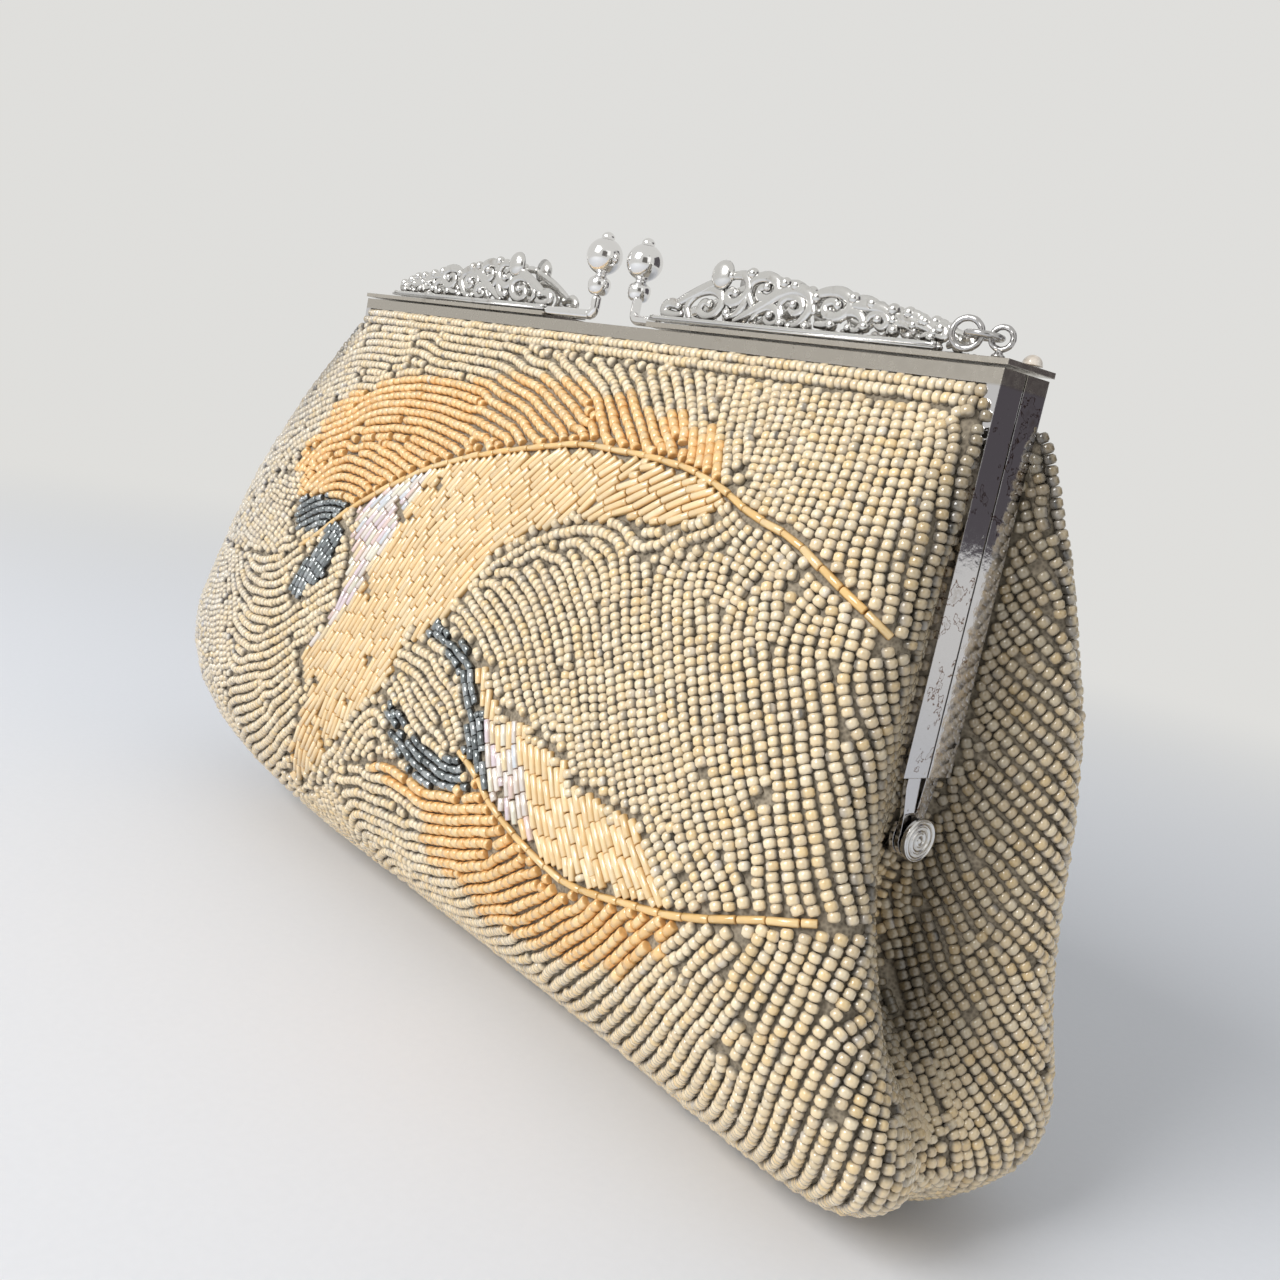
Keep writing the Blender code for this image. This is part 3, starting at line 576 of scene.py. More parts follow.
figure = {
    "between": {
        "outline": [(-150, -5), (150, -5), (150, 175), (-150, 175)],
        "threads": [
            [(51, 39), (59, 46), (66, 55), (72, 61)],
            [(41, 45), (51, 50), (59, 57), (64, 63)],
            [(28, 53), (40, 57), (48, 63)],
            [(70, 39), (76, 46), (84, 56)],
            [(81, 38), (88, 45), (93, 53)],
            [(93, 38), (98, 45), (103, 50)],
            [(66, 28), (57, 38)],
            [(81, 30), (78, 40)],
            [(92, 34), (91, 39), (90, 42)],
            [(99, 38), (99, 42)],
            [(10, 54), (15, 47), (21, 40), (27, 38)],
            [(17, 55), (23, 49), (28, 42), (35, 38)],
            [(36, 38), (42, 35), (50, 35)],
            [(-36, 110), (-12, 93), (-2, 81), (2, 68), (7, 58), (13, 48)],
            [(-30, 115), (-4, 95), (7, 83)],
            [(18, 59), (29, 61), (36, 65), (43, 72)],
            [(24, 55), (34, 59), (41, 64)],
            [(6, 67), (14, 62), (20, 60)],
            [(9, 82), (13, 85), (17, 89)],
            [(50, 53), (57, 63), (66, 75)],
            [(61, 50), (70, 61), (76, 68), (84, 77), (94, 84)],
            [(72, 47), (83, 61), (95, 73), (102, 81)],
            [(85, 43), (96, 56), (103, 66), (111, 78)],
            [(96, 39), (106, 53), (114, 66), (122, 77)],
            [(105, 41), (116, 52), (130, 68), (123, 76)],
        ],
    },
    "above": {
        "outline": [(-150, -5), (150, -5), (150, 58), (112, 44), (104, 40), (98, 37), (91, 34), (81, 30),
            (71, 28), (61, 25), (49, 23), (33, 23), (21, 24), (3, 29), (-6, 32), (-18, 38), (-31, 49),
            (-44, 61), (-55, 66), (-75, 68), (-150, 64)],
        "threads": [
            [(47, 6), (53, 15), (61, 23)],
            [(55, 4), (64, 17), (69, 26)],
            [(68, 5), (76, 17), (80, 28)],
            [(80, 11), (86, 22), (90, 32)],
            [(88, 7), (98, 26), (105, 40)],
            [(81, 8), (92, 24), (98, 36)],
            [(-42, 12), (-29, 13), (-17, 14)],
            [(-19, 9), (-7, 10), (3, 13)],
            [(0, 7), (6, 10), (12, 13)],
            [(19, 6), (24, 8), (31, 13)],
            [(31, 5), (34, 7), (44, 14)],
            [(-61, 21), (-44, 17), (-28, 17)],
            [(-90, 20), (-80, 11), (-53, 11), (-22, 14)],
            [(-87, 2), (-65, 2), (-47, 1), (-25, 0)],
            [(-85, 38), (-74, 31), (-62, 26)],
            [(-75, 43), (-68, 35), (-58, 30)],
            [(-62, 49), (-63, 44), (-62, 39)],
            [(-68, 63), (-66, 56), (-65, 49)],
            [(-90, 17), (-91, 11), (-87, 6)],
        ],
    },
    "leftEnd": {
        "outline": [(-44, 61), (-55, 66), (-75, 68), (-150, 64), (-150, 175), (-70, 175), (-60, 132),
            (-48, 121), (-21, 100), (-12, 85), (-10, 70), (-15, 55), (-25, 45)],
        "threads": [
            [(-61, 76), (-50, 78), (-42, 77), (-37, 73), (-32, 68)],
            [(-56, 84), (-46, 84), (-37, 80), (-31, 76), (-27, 71)],
            [(-56, 92), (-45, 90), (-34, 85), (-25, 78)],
            [(-58, 99), (-38, 92), (-27, 85), (-21, 79)],
            [(-67, 110), (-42, 100), (-25, 89), (-17, 80)],
            [(-74, 119), (-50, 110), (-27, 96), (-16, 87)],
            [(-54, 75), (-46, 74), (-39, 71)],
            [(-49, 68), (-46, 65), (-42, 61)],
            [(-59, 118), (-37, 106), (-22, 95), (-13, 88)],
            [(-71, 75), (-62, 82), (-59, 92)],
            [(-78, 80), (-72, 90), (-70, 101)],
            [(-67, 100), (-74, 112), (-79, 121)],
        ],
    },
    "below": {
        "outline": [(-48, 121), (-21, 107), (-6, 97), (6, 92), (14, 90), (30, 90), (36, 82), (42, 84),
            (48, 88), (59, 91), (69, 92), (79, 90), (92, 87), (101, 84), (108, 81), (115, 79), (126, 78),
            (150, 76), (150, 175), (-70, 175), (-60, 132)],
        "threads": [
            [(114, 80), (113, 89), (104, 103)],
            [(144, 88), (116, 91), (103, 107), (90, 123)],
            [(122, 80), (119, 89), (112, 100), (97, 117)],
            [(124, 82), (121, 90), (116, 100), (100, 117), (89, 128)],
            [(120, 101), (115, 106), (108, 115), (101, 122)],
            [(6, 95), (16, 94), (23, 98)],
            [(1, 103), (14, 102), (23, 100)],
            [(-9, 115), (6, 111), (15, 110)],
            [(-18, 103), (-24, 114), (-34, 126)],
            [(-46, 120), (-56, 131), (-52, 134)],
            [(9, 119), (26, 111), (44, 102)],
            [(-3, 130), (18, 122), (40, 112)],
            [(0, 135), (21, 127), (45, 113), (60, 103)],
            [(8, 139), (34, 125), (55, 110), (67, 103)],
            [(18, 139), (40, 126), (60, 112), (73, 104)],
            [(27, 140), (52, 124), (75, 106), (85, 98), (95, 88)],
            [(37, 141), (55, 129), (77, 111), (90, 99), (99, 90), (102, 88)],
            [(47, 141), (74, 120), (90, 106), (104, 94), (108, 87), (109, 82)],
            [(59, 141), (86, 118), (104, 101), (112, 91), (113, 81)],
            [(77, 133), (99, 113), (111, 100), (118, 88), (118, 80)],
        ],
    },
    "upperAmber": {
        "outline": [(-52, 54), (-63, 46), (-68, 38), (-69, 30), (-65, 25), (-58, 20), (-44, 17),
            (-26, 15), (-10, 12), (2, 11), (14, 11), (28, 13), (43, 15), (52, 15), (57, 20), (62, 25),
            (56, 24), (48, 23), (41, 23), (33, 23), (26, 23), (21, 24), (12, 26), (3, 29), (-6, 32),
            (-13, 35), (-18, 38), (-25, 43), (-31, 49), (-35, 52)],
        "threads": [
            [(-57, 49), (-61, 40), (-53, 36), (-39, 35), (-26, 37)],
            [(-53, 45), (-48, 39), (-37, 38), (-27, 40)],
            [(-61, 35), (-48, 28), (-28, 25), (-11, 26), (2, 29)],
            [(-59, 28), (-48, 21), (-24, 18), (-6, 20)],
            [(-25, 16), (-3, 20), (10, 24)],
            [(-2, 14), (12, 18), (22, 22)],
            [(17, 12), (27, 17), (35, 22)],
            [(32, 14), (38, 18), (45, 22)],
            [(46, 14), (50, 19), (54, 23)],
            [(52, 15), (59, 22)],
        ],
    },
    "upperPale": {
        "outline": [(-25, 81), (-20, 75), (-18, 67), (-21, 59), (-26, 54), (-28, 49), (-24, 44),
            (-18, 38), (-13, 35), (-6, 32), (3, 29), (12, 26), (21, 24), (27, 23), (33, 23), (41, 23),
            (49, 24), (56, 24), (61, 25), (67, 27), (64, 29), (63, 31), (59, 33), (53, 34), (46, 34),
            (40, 36), (33, 38), (27, 41), (22, 46), (21, 51), (20, 58), (16, 65), (11, 72), (5, 82),
            (-6, 93), (-21, 104), (-48, 120), (-35, 108), (-21, 94), (-18, 87)],
        "threads": [
            [(-15, 89), (-9, 78), (-5, 62), (-4, 52)],
            [(-31, 105), (-13, 89), (-7, 75), (-4, 65)],
            [(1, 46), (4, 38), (7, 29)],
            [(17, 39), (21, 32), (23, 24)],
            [(32, 34), (35, 28), (37, 24)],
            [(41, 34), (50, 27)],
            [(50, 34), (59, 27)],
            [(-22, 62), (-21, 52), (-17, 41)],
            [(-6, 63), (-5, 51), (-4, 38)],
        ],
    },
    "upperPearl": {
        "outline": [(-29, 54), (-31, 49), (-25, 43), (-18, 38), (-15, 37), (-12, 44), (-11, 51),
            (-12, 59), (-13, 67), (-16, 75), (-23, 81), (-27, 79), (-26, 70), (-27, 64)],
    },
    "upperEye": {
        "outline": [(-54, 53), (-53, 51), (-45, 49), (-36, 48), (-32, 50), (-36, 54), (-41, 58),
            (-47, 58), (-52, 56)],
        "threads": [
            [(-51, 55), (-46, 51), (-36, 50)],
        ],
    },
    "upperEyeTail": {
        "outline": [(-34, 53), (-29, 54), (-28, 64), (-31, 70), (-37, 72), (-40, 68), (-37, 62), (-37, 57)],
        "threads": [
            [(-38, 70), (-37, 64), (-37, 58), (-34, 53)],
        ],
    },
    "lowerEye": {
        "outline": [(14, 65), (18, 64), (25, 64), (32, 67), (38, 72), (42, 78), (44, 83), (41, 84),
            (37, 82), (36, 76), (32, 72), (25, 68), (20, 67)],
        "threads": [
            [(19, 65), (26, 66), (32, 69), (38, 73), (42, 80)],
            [(22, 68), (28, 69), (34, 74), (39, 81)],
        ],
    },
    "lowerEyeBase": {
        "outline": [(11, 80), (13, 80), (19, 83), (24, 84), (31, 84), (36, 83), (40, 85), (41, 87),
            (36, 89), (27, 91), (21, 90), (16, 88), (14, 84)],
        "threads": [
            [(13, 80), (17, 84), (24, 85), (31, 86), (40, 85)],
            [(17, 85), (22, 88), (29, 89), (41, 87)],
        ],
    },
    "lowerRings": {
        "outline": [(12, 80), (9, 76), (8, 72), (11, 68), (16, 67), (24, 68), (32, 72), (36, 76),
            (38, 81), (35, 83), (31, 84), (24, 84), (18, 83)],
        "threads": [
            [(9, 73), (13, 71), (19, 71), (26, 73), (31, 75), (34, 81)],
            [(13, 73), (21, 74), (27, 77), (32, 80)],
            [(13, 75), (17, 80), (23, 82), (31, 83)],
            [(16, 76), (21, 78), (26, 80), (32, 82)],
        ],
    },
    "lowerPale": {
        "outline": [(41, 84), (44, 83), (42, 78), (38, 72), (33, 67), (35, 66), (41, 71), (45, 73),
            (50, 72), (57, 74), (62, 75), (66, 77), (73, 77), (83, 77), (87, 81), (92, 86), (92, 87),
            (85, 89), (79, 90), (74, 91), (70, 91), (64, 91), (59, 90), (54, 89), (49, 87), (45, 86),
            (41, 84)],
        "threads": [
            [(37, 68), (42, 76), (45, 81)],
            [(44, 72), (49, 81), (52, 88)],
            [(65, 78), (74, 90)],
            [(74, 76), (85, 88)],
            [(81, 78), (91, 86)],
            [(49, 74), (54, 80)],
        ],
    },
    "lowerPearl": {
        "outline": [(37, 70), (44, 73), (51, 73), (57, 83), (54, 90), (49, 88), (43, 84), (42, 78)],
    },
    "lowerAmber": {
        "outline": [(9, 93), (16, 91), (24, 92), (30, 91), (40, 88), (43, 85), (45, 86), (48, 88),
            (53, 90), (59, 91), (63, 92), (69, 92), (74, 91), (79, 90), (86, 89), (91, 88), (96, 86),
            (93, 90), (88, 95), (80, 101), (72, 104), (66, 107), (55, 112), (50, 111), (40, 114),
            (31, 116), (30, 113), (27, 110), (20, 110), (20, 106), (22, 100), (25, 95), (17, 95)],
        "threads": [
            [(12, 93), (20, 91), (26, 92), (35, 90), (43, 88)],
            [(24, 99), (39, 93), (49, 90)],
            [(28, 103), (43, 97), (54, 92)],
            [(26, 109), (43, 101), (60, 92)],
            [(24, 118), (49, 103), (67, 92)],
            [(41, 114), (60, 101), (75, 91)],
            [(57, 111), (75, 98), (88, 89)],
            [(76, 103), (88, 93), (94, 87)],
        ],
    },
    "upperSpine": {
        "threads": [
            [(-44, 61), (-41, 59), (-31, 49), (-18, 38), (-6, 32), (3, 29), (21, 24), (33, 23),
                (49, 23), (61, 25), (71, 28), (81, 30), (91, 34), (98, 37), (104, 40)],
        ],
    },
    "lowerSpine": {
        "threads": [
            [(36, 82), (42, 84), (48, 88), (59, 91), (69, 92), (79, 90), (92, 87), (101, 84),
                (108, 81), (115, 79)],
        ],
    },
}


def insideOutline(outline, s, v):
    inside = np.zeros(np.shape(s), bool)
    for (s0, v0), (s1, v1) in zip(outline, outline[1:] + outline[:1]):
        crosses = (v0 > v) != (v1 > v)
        at = s0 + (v - v0) * (s1 - s0) / (v1 - v0 if v1 != v0 else 1e-9)
        inside ^= crosses & (s < at)
    return inside


def directionField(panel, strokes, pieceLength=4, soften=6, fade=1.6):
    # cosine and sine of twice the thread's angle on a raster, from the nearest strokes
    cell = clothGrain["cell"]
    s, v = np.meshgrid(panel.low + cell * np.arange(panel.cellsWide), cell * np.arange(panel.cellsDeep))
    cosine = np.zeros(s.shape)
    sine = np.zeros(s.shape)
    for stroke in strokes:
        for (s0, v0), (s1, v1) in zip(stroke, stroke[1:]):
            length = math.hypot(s1 - s0, v1 - v0)
            twice = 2 * math.atan2(v1 - v0, s1 - s0)
            pieces = max(1, int(length / pieceLength))
            for n in range(pieces):
                t = (n + 0.5) / pieces
                away = (s - s0 - (s1 - s0) * t) ** 2 + (v - v0 - (v1 - v0) * t) ** 2
                weight = length / pieces / (away + soften) ** fade
                cosine += weight * math.cos(twice)
                sine += weight * math.sin(twice)
    size = np.hypot(cosine, sine) + 1e-12
    return (cosine / size).tolist(), (sine / size).tolist()


threading = {
    # a thread runs on while its gap to others is over this share of the spacing
    "tightShare": 0.84, "besideSpineShare": 0.58, "spinePushShare": 0.6,
    # no thread starts above this, where the edging rows lie, nor so near the seam or the base's middle
    "top": 5.4, "seamMargin": 0.9, "baseMargin": 0.8,
    "step": 0.7, "longest": 400, "bucket": 3, "mapCell": 0.8, "noSpacing": 1.9,
    # rooms: share of the spacing that a new thread needs; first all over, then after rounds of settling
    "firstRoom": 0.95, "firstShortest": (2.0, 1.2), "shortest": 2.2,
    "passes": ((10, 0.88, False), (8, 0.80, False), (8, 0.77, True), (6, 0.75, True), (6, 0.70, True)),
    # half the length of a single bead's thread, for fine and for wide spacing
    "singleFine": 0.9, "singleWide": 0.65, "fineSpacing": 1.6,
    # push between threads nearer than reach times the spacing; neighbours are listed anew every few rounds
    "reach": 1.5, "push": 0.30, "renew": 3, "moveMost": 0.3, "slideMost": 0.4, "slopeStep": 0.4,
    # points that start new threads beside a thread, and the least square of a step's length on the cloth
    "besideEvery": 3, "leastSquare": 0.2, "firstSeedEvery": 2,
}


class ThreadMaker:
    # lays evenly spaced threads over one panel
    def __init__(self, panel, maps, spines):
        self.panel = panel
        self.zoneMap, self.kindMap, self.spacingMap = maps
        self.spines = spines
        self.buckets = {}
        self.threads = []
        self.tight = threading["tightShare"]

    def lookup(self, table, s, v):
        i = int(v / threading["mapCell"] + 0.5)
        k = int((s - self.panel.low) / threading["mapCell"] + 0.5)
        if i < 0 or k < 0 or i >= len(table) or k >= len(table[0]):
            return -1
        return table[i][k]

    def metric(self, s, v):
        p = self.panel
        i = min(max(int(v / clothGrain["cell"] + 0.5), 0), p.cellsDeep - 1)
        k = min(max(int((s - p.low) / clothGrain["cell"] + 0.5), 0), p.cellsWide - 1)
        return p.metricE[i][k], p.metricF[i][k], p.metricG[i][k]

    def free(self, s, v, gap):
        e, f, g = self.metric(s, v)
        ci, ck = int(v // threading["bucket"]), int(s // threading["bucket"])
        for i in (ci - 1, ci, ci + 1):
            for k in (ck - 1, ck, ck + 1):
                for ps, pv, ident in self.buckets.get((i, k), ()):
                    a, b = ps - s, pv - v
                    near = gap * (threading["besideSpineShare"] if ident < self.spines else 1)
                    if e * a * a + 2 * f * a * b + g * b * b < near * near:
                        return False
        return True

    def keep(self, path, ident):
        for s, v in path:
            cell = (int(v // threading["bucket"]), int(s // threading["bucket"]))
            self.buckets.setdefault(cell, []).append((s, v, ident))

    def heading(self, field, s, v, before):
        # unit step along the field, on the same way as the step before
        p = self.panel
        x, y = (s - p.low) / clothGrain["cell"], v / clothGrain["cell"]
        k, i = int(x), int(y)
        if k < 0 or i < 0 or k >= p.cellsWide - 1 or i >= p.cellsDeep - 1:
            return None
        fx, fy = x - k, y - i
        corners = (
            ((1 - fx) * (1 - fy), i, k), (fx * (1 - fy), i, k + 1),
            ((1 - fx) * fy, i + 1, k), (fx * fy, i + 1, k + 1),
        )
        cosine, sine = (sum(w * table[a][b] for w, a, b in corners) for table in field)
        angle = 0.5 * math.atan2(sine, cosine)
        ds, dv = math.cos(angle), math.sin(angle)
        if before and ds * before[0] + dv * before[1] < 0:
            ds, dv = -ds, -dv
        e, f, g = self.metric(s, v)
        square = e * ds * ds + 2 * f * ds * dv + g * dv * dv
        length = math.sqrt(max(square, threading["leastSquare"]))
        return ds / length, dv / length

    def walk(self, zone, field, s, v, way):
        path = []
        before = None
        p = self.panel
        while len(path) < threading["longest"]:
            head = self.heading(field, s, v, before)
            if head is None:
                break
            if before is None:
                head = (head[0] * way, head[1] * way)
            before = head
            s, v = s + head[0] * threading["step"], v + head[1] * threading["step"]
            half = p.halfWidth[min(max(int(v / clothGrain["cell"]), 0), p.cellsDeep - 1)]
            if abs(s) > half - threading["seamMargin"]:
                break
            if v < threading["top"] or v > p.depth - threading["baseMargin"]:
                break
            if self.lookup(self.zoneMap, s, v) != zone:
                break
            if not self.free(s, v, self.tight * self.lookup(self.spacingMap, s, v)):
                break
            path.append((s, v))
        return path

    def besides(self, path, n):
        # places for the next threads, one spacing to either side of a point
        ps, pv = path[n]
        qs, qv = path[n + 1] if n + 1 < len(path) else path[n - 1]
        ds, dv = qs - ps, qv - pv
        e, f, g = self.metric(ps, pv)
        a, b = -(f * ds + g * dv), e * ds + f * dv
        size = math.sqrt(max(e * a**2 + 2 * f * a * b + g * b**2, 1e-9))
        here = self.lookup(self.spacingMap, ps, pv)
        return [(ps + way * here * a / size, pv + way * here * b / size) for way in (1, -1)]

    def lay(self, zone, field, seeds, shortest, room, single=False):
        queue = list(seeds)
        self.tight = min(threading["tightShare"], room)
        while queue:
            s, v = queue.pop(0)
            if self.lookup(self.zoneMap, s, v) != zone or v < threading["top"]:
                continue
            gap = self.lookup(self.spacingMap, s, v)
            if not self.free(s, v, room * gap):
                continue
            forth, back = (self.walk(zone, field, s, v, way) for way in (1, -1))
            path = back[::-1] + [(s, v)] + forth
            if len(path) * threading["step"] < shortest:
                head = self.heading(field, s, v, None)
                if not single or head is None:
                    continue
                half = threading["singleFine" if gap < threading["fineSpacing"] else "singleWide"]
                path = [(s + t * half * head[0], v + t * half * head[1]) for t in (-1, 0, 1)]
            self.keep(path, len(self.threads))
            self.threads.append((zone, path))
            for n in range(0, len(path), threading["besideEvery"]):
                queue += self.besides(path, n)

    def seeds(self, zone, every=1):
        cell = threading["mapCell"]
        rows = self.zoneMap
        return [(self.panel.low + cell * k, cell * i) for i in range(0, len(rows), every)
                for k in range(0, len(rows[0]), every) if rows[i][k] == zone]


def zoneMaps(panel, zones, patches):
    # rasters of zone number, bead kind and thread spacing
    cell = threading["mapCell"]
    across, down = int(-2 * panel.low / cell), int(panel.depth / cell) + 2
    s, v = np.meshgrid(panel.low + cell * np.arange(across + 2), cell * np.arange(down))
    zone, kind = np.zeros(s.shape, int), np.zeros(s.shape, int)
    names = list(beadKinds)
    for number, (outline, bead, _) in enumerate(zones):
        inside = insideOutline(outline, s, v)
        zone[inside] = number
        kind[inside] = names.index(bead)
    for outline, bead, where in patches:
        kind[insideOutline(outline, s, v) & np.isin(zone, where)] = names.index(bead)
    spacing = np.array([beadKinds[name]["spacing"] for name in names])[kind]
    return zone.tolist(), kind.tolist(), spacing.tolist()


def strokePoints(stroke, step=1.0):
    points = []
    for (s0, v0), (s1, v1) in zip(stroke, stroke[1:]):
        count = max(1, int(math.hypot(s1 - s0, v1 - v0) / step))
        points += [(s0 + (s1 - s0) * n / count, v0 + (v1 - v0) * n / count) for n in range(count)]
    return points + [stroke[-1]]


def layThreads(panel, zones, patches, fixed):
    maker = ThreadMaker(panel, zoneMaps(panel, zones, patches), sum(bead == "gold" for bead, _ in fixed))
    for bead, path in fixed:
        maker.keep(path, len(maker.threads))
        maker.threads.append((bead, path))
    order = sorted(range(len(zones)), key=lambda n: beadKinds[zones[n][1]]["spacing"])
    fields = [directionField(panel, strokes) for _, _, strokes in zones]
    longer, shorter = threading["firstShortest"]
    for number in order:
        seeds = []
        for stroke in zones[number][2]:
            points = strokePoints(stroke)
            seeds += [points[len(points) // 2], points[0], points[-1]]
        maker.lay(number, fields[number], seeds, longer, threading["firstRoom"])
        more = maker.seeds(number, threading["firstSeedEvery"])
        maker.lay(number, fields[number], more, shorter, threading["firstRoom"])
    for rounds, room, single in threading["passes"]:
        settleThreads(maker, len(fixed), rounds)
        for number in order:
            maker.lay(number, fields[number], maker.seeds(number), threading["shortest"], room, single)
    return maker


def nearPairs(place, owners, gaps):
    # points of different threads that lie within reach of each other
    tree = KDTree(len(place))
    spots = place.tolist()
    for i, spot in enumerate(spots):
        tree.insert(spot, i)
    tree.balance()
    rows, others = [], []
    for i, spot in enumerate(spots):
        for _, j, _ in tree.find_range(spot, threading["reach"] * gaps[i]):
            if owners[j] != owners[i]:
                rows.append(i)
                others.append(j)
    return np.array(rows), np.array(others)


def smoothed(move, starts, lasts):
    before = np.where(starts[:, None], move, np.roll(move, 1, 0))
    after = np.where(lasts[:, None], move, np.roll(move, -1, 0))
    return (before + 2 * move + after) / 4


def settleThreads(maker, fixedCount, rounds):
    # neighbouring threads push each other sideways until the gaps between them are even
    panel = maker.panel
    slope = threading["slopeStep"]
    picks = []
    for _, path in maker.threads:
        pick = list(range(0, len(path), 2 if len(path) > 4 else 1))
        picks.append(pick if pick[-1] == len(path) - 1 else pick + [len(path) - 1])
    flat = np.array([path[i] for (_, path), pick in zip(maker.threads, picks) for i in pick], float)
    sizes = [len(pick) for pick in picks]
    owner = np.repeat(np.arange(len(sizes)), sizes)
    gap = np.array([maker.lookup(maker.spacingMap, s, v) for s, v in flat.tolist()])
    gap[gap <= 0] = threading["noSpacing"]
    first = np.cumsum([0] + sizes[:-1])
    starts, lasts = np.zeros(len(flat), bool), np.zeros(len(flat), bool)
    starts[first] = True
    lasts[first + np.array(sizes) - 1] = True
    fixed = owner < fixedCount
    for turn in range(rounds):
        s, v = flat[:, 0], flat[:, 1]
        place = panel.place(s, v)
        alongS = (panel.place(s + slope, v) - panel.place(s - slope, v)) / (2 * slope)
        alongV = (panel.place(s, v + slope) - panel.place(s, v - slope)) / (2 * slope)
        ahead, behind = np.roll(place, -1, 0), np.roll(place, 1, 0)
        tangent = np.where(lasts[:, None], place, ahead) - np.where(starts[:, None], place, behind)
        tangent /= np.linalg.norm(tangent, axis=1, keepdims=True) + 1e-9
        if turn % threading["renew"] == 0:
            rows, others = nearPairs(place, owner.tolist(), gap.tolist())
        delta = place[rows] - place[others]
        far = np.linalg.norm(delta, axis=1) + 1e-6
        delta -= tangent[rows] * (delta * tangent[rows]).sum(1, keepdims=True)
        width = (gap[rows] + gap[others]) / 2
        width *= np.where(owner[others] < maker.spines, threading["spinePushShare"], 1)
        force = delta / far[:, None] * (1 - far / (threading["reach"] * width)).clip(0, 1)[:, None]
        push = np.stack([np.bincount(rows, force[:, axis], len(flat)) for axis in range(3)], 1)
        push *= threading["push"] * gap[:, None]
        size = np.linalg.norm(push, axis=1, keepdims=True)
        push *= np.minimum(1, threading["moveMost"] / (size + 1e-9))
        # the push in space as a move (s, v) on the cloth
        a, b = (push * alongS).sum(1), (push * alongV).sum(1)
        e, f, g = (alongS * alongS).sum(1), (alongS * alongV).sum(1), (alongV * alongV).sum(1)
        move = np.stack([g * a - f * b, e * b - f * a], 1) / (e * g - f * f + 1e-6)[:, None]
        move = move.clip(-threading["slideMost"], threading["slideMost"])
        move[fixed] = 0
        move = smoothed(move, starts, lasts)
        move[fixed] = 0
        flat = flat + move
        half = panel.half(flat[:, 1]) - threading["seamMargin"]
        flat[:, 0] = flat[:, 0].clip(-half, half)
        flat[:, 1] = flat[:, 1].clip(threading["baseMargin"], panel.depth - threading["seamMargin"])
    maker.buckets = {}
    for n, (label, path) in enumerate(maker.threads):
        if n >= fixedCount:
            new = flat[first[n]:first[n] + sizes[n]]
            full = [np.interp(range(len(path)), picks[n], new[:, k]).tolist() for k in (0, 1)]
            path = list(zip(*full))
        maker.keep(path, n)
        maker.threads[n] = (label, path)


edging = {"rows": (2.2, 4.1), "endMargin": 1.2, "sideMargin": 1.3, "sideFrom": 6.3, "sideTo": 60, "step": 0.7}


def edgingRows(panel):
    # two rows of beads under the bar and one down each end beside the arm
    paths = []
    for v in edging["rows"]:
        half = panel.half(v) - edging["endMargin"]
        paths.append(("cream", [(s, v) for s in np.arange(-half, half, edging["step"]).tolist()]))
    down = np.arange(edging["sideFrom"], edging["sideTo"], edging["step"]).tolist()
    for side in (1, -1):
        paths.append(("cream", [(side * (panel.half(v) - edging["sideMargin"]), v) for v in down]))
    return paths


def smoothStroke(stroke):
    length = sum(math.dist(a, b) for a, b in zip(stroke, stroke[1:]))
    return [tuple(p) for p in smoothCurve(stroke, int(length / threading["step"]) + 2).tolist()]


# zone: bead kind and the figure's parts whose strokes its threads follow; later zones lie over earlier ones
figureZones = {
    "between": ("cream", ["between"]), "above": ("cream", ["above", "upperAmber"]),
    "leftEnd": ("cream", ["leftEnd"]), "below": ("cream", ["below", "lowerAmber"]),
    "upperPale": ("pale", ["upperPale"]), "lowerPale": ("pale", ["lowerPale"]),
    "lowerRings": ("cream", ["lowerRings"]),
    "lowerEye": ("gun", ["lowerEye"]), "lowerEyeBase": ("gun", ["lowerEyeBase"]),
    "upperEye": ("gun", ["upperEye"]), "upperEyeTail": ("gun", ["upperEyeTail"]),
}
zones = [
    (figure[name]["outline"], bead, [stroke for source in sources for stroke in figure[source]["threads"]])
    for name, (bead, sources) in figureZones.items()
]
# part of the figure, bead kind, numbers of the zones that it recolours
patches = [(figure[name]["outline"], bead, where) for name, bead, where in (
    ("upperAmber", "amber", (0, 1, 2)), ("lowerAmber", "amber", (0, 3)),
    ("upperPearl", "pearl", (4,)), ("lowerPearl", "pearl", (5,)),
)]
spines = [("gold", smoothStroke(figure[name]["threads"][0])) for name in ("upperSpine", "lowerSpine")]
frontThreads = layThreads(panels["front"], zones, patches, spines + edgingRows(panels["front"]))
everywhere = [(-170, -5), (170, -5), (170, 190), (-170, 190)]
flankStrokes = [
    [(92, 6), (95, 14), (99, 25), (105, 39)],
    [(104, 22), (101, 24), (101, 28)],
    [(111, 30), (108, 33), (106, 36)],
    [(120, 41), (116, 45), (112, 49)],
    [(127, 52), (122, 56), (116, 62)],
    [(132, 63), (128, 68), (122, 74)],
    [(133, 70), (131, 78), (126, 86), (116, 97)],
    [(141, 76), (139, 88), (130, 99), (119, 108), (113, 115)],
    [(143, 82), (140, 92), (133, 101), (120, 111), (107, 121)],
    [(141, 97), (135, 104), (128, 108), (118, 115), (103, 126)],
    [(138, 105), (130, 112), (124, 116), (114, 122), (97, 132)],
    [(126, 118), (118, 122), (108, 128), (89, 139)],
]
plainStrokes = [[(s, 4), (s * 1.08, 60), (s * 1.06, 110), (s * 0.92, 158)] for s in range(-80, 90, 20)]
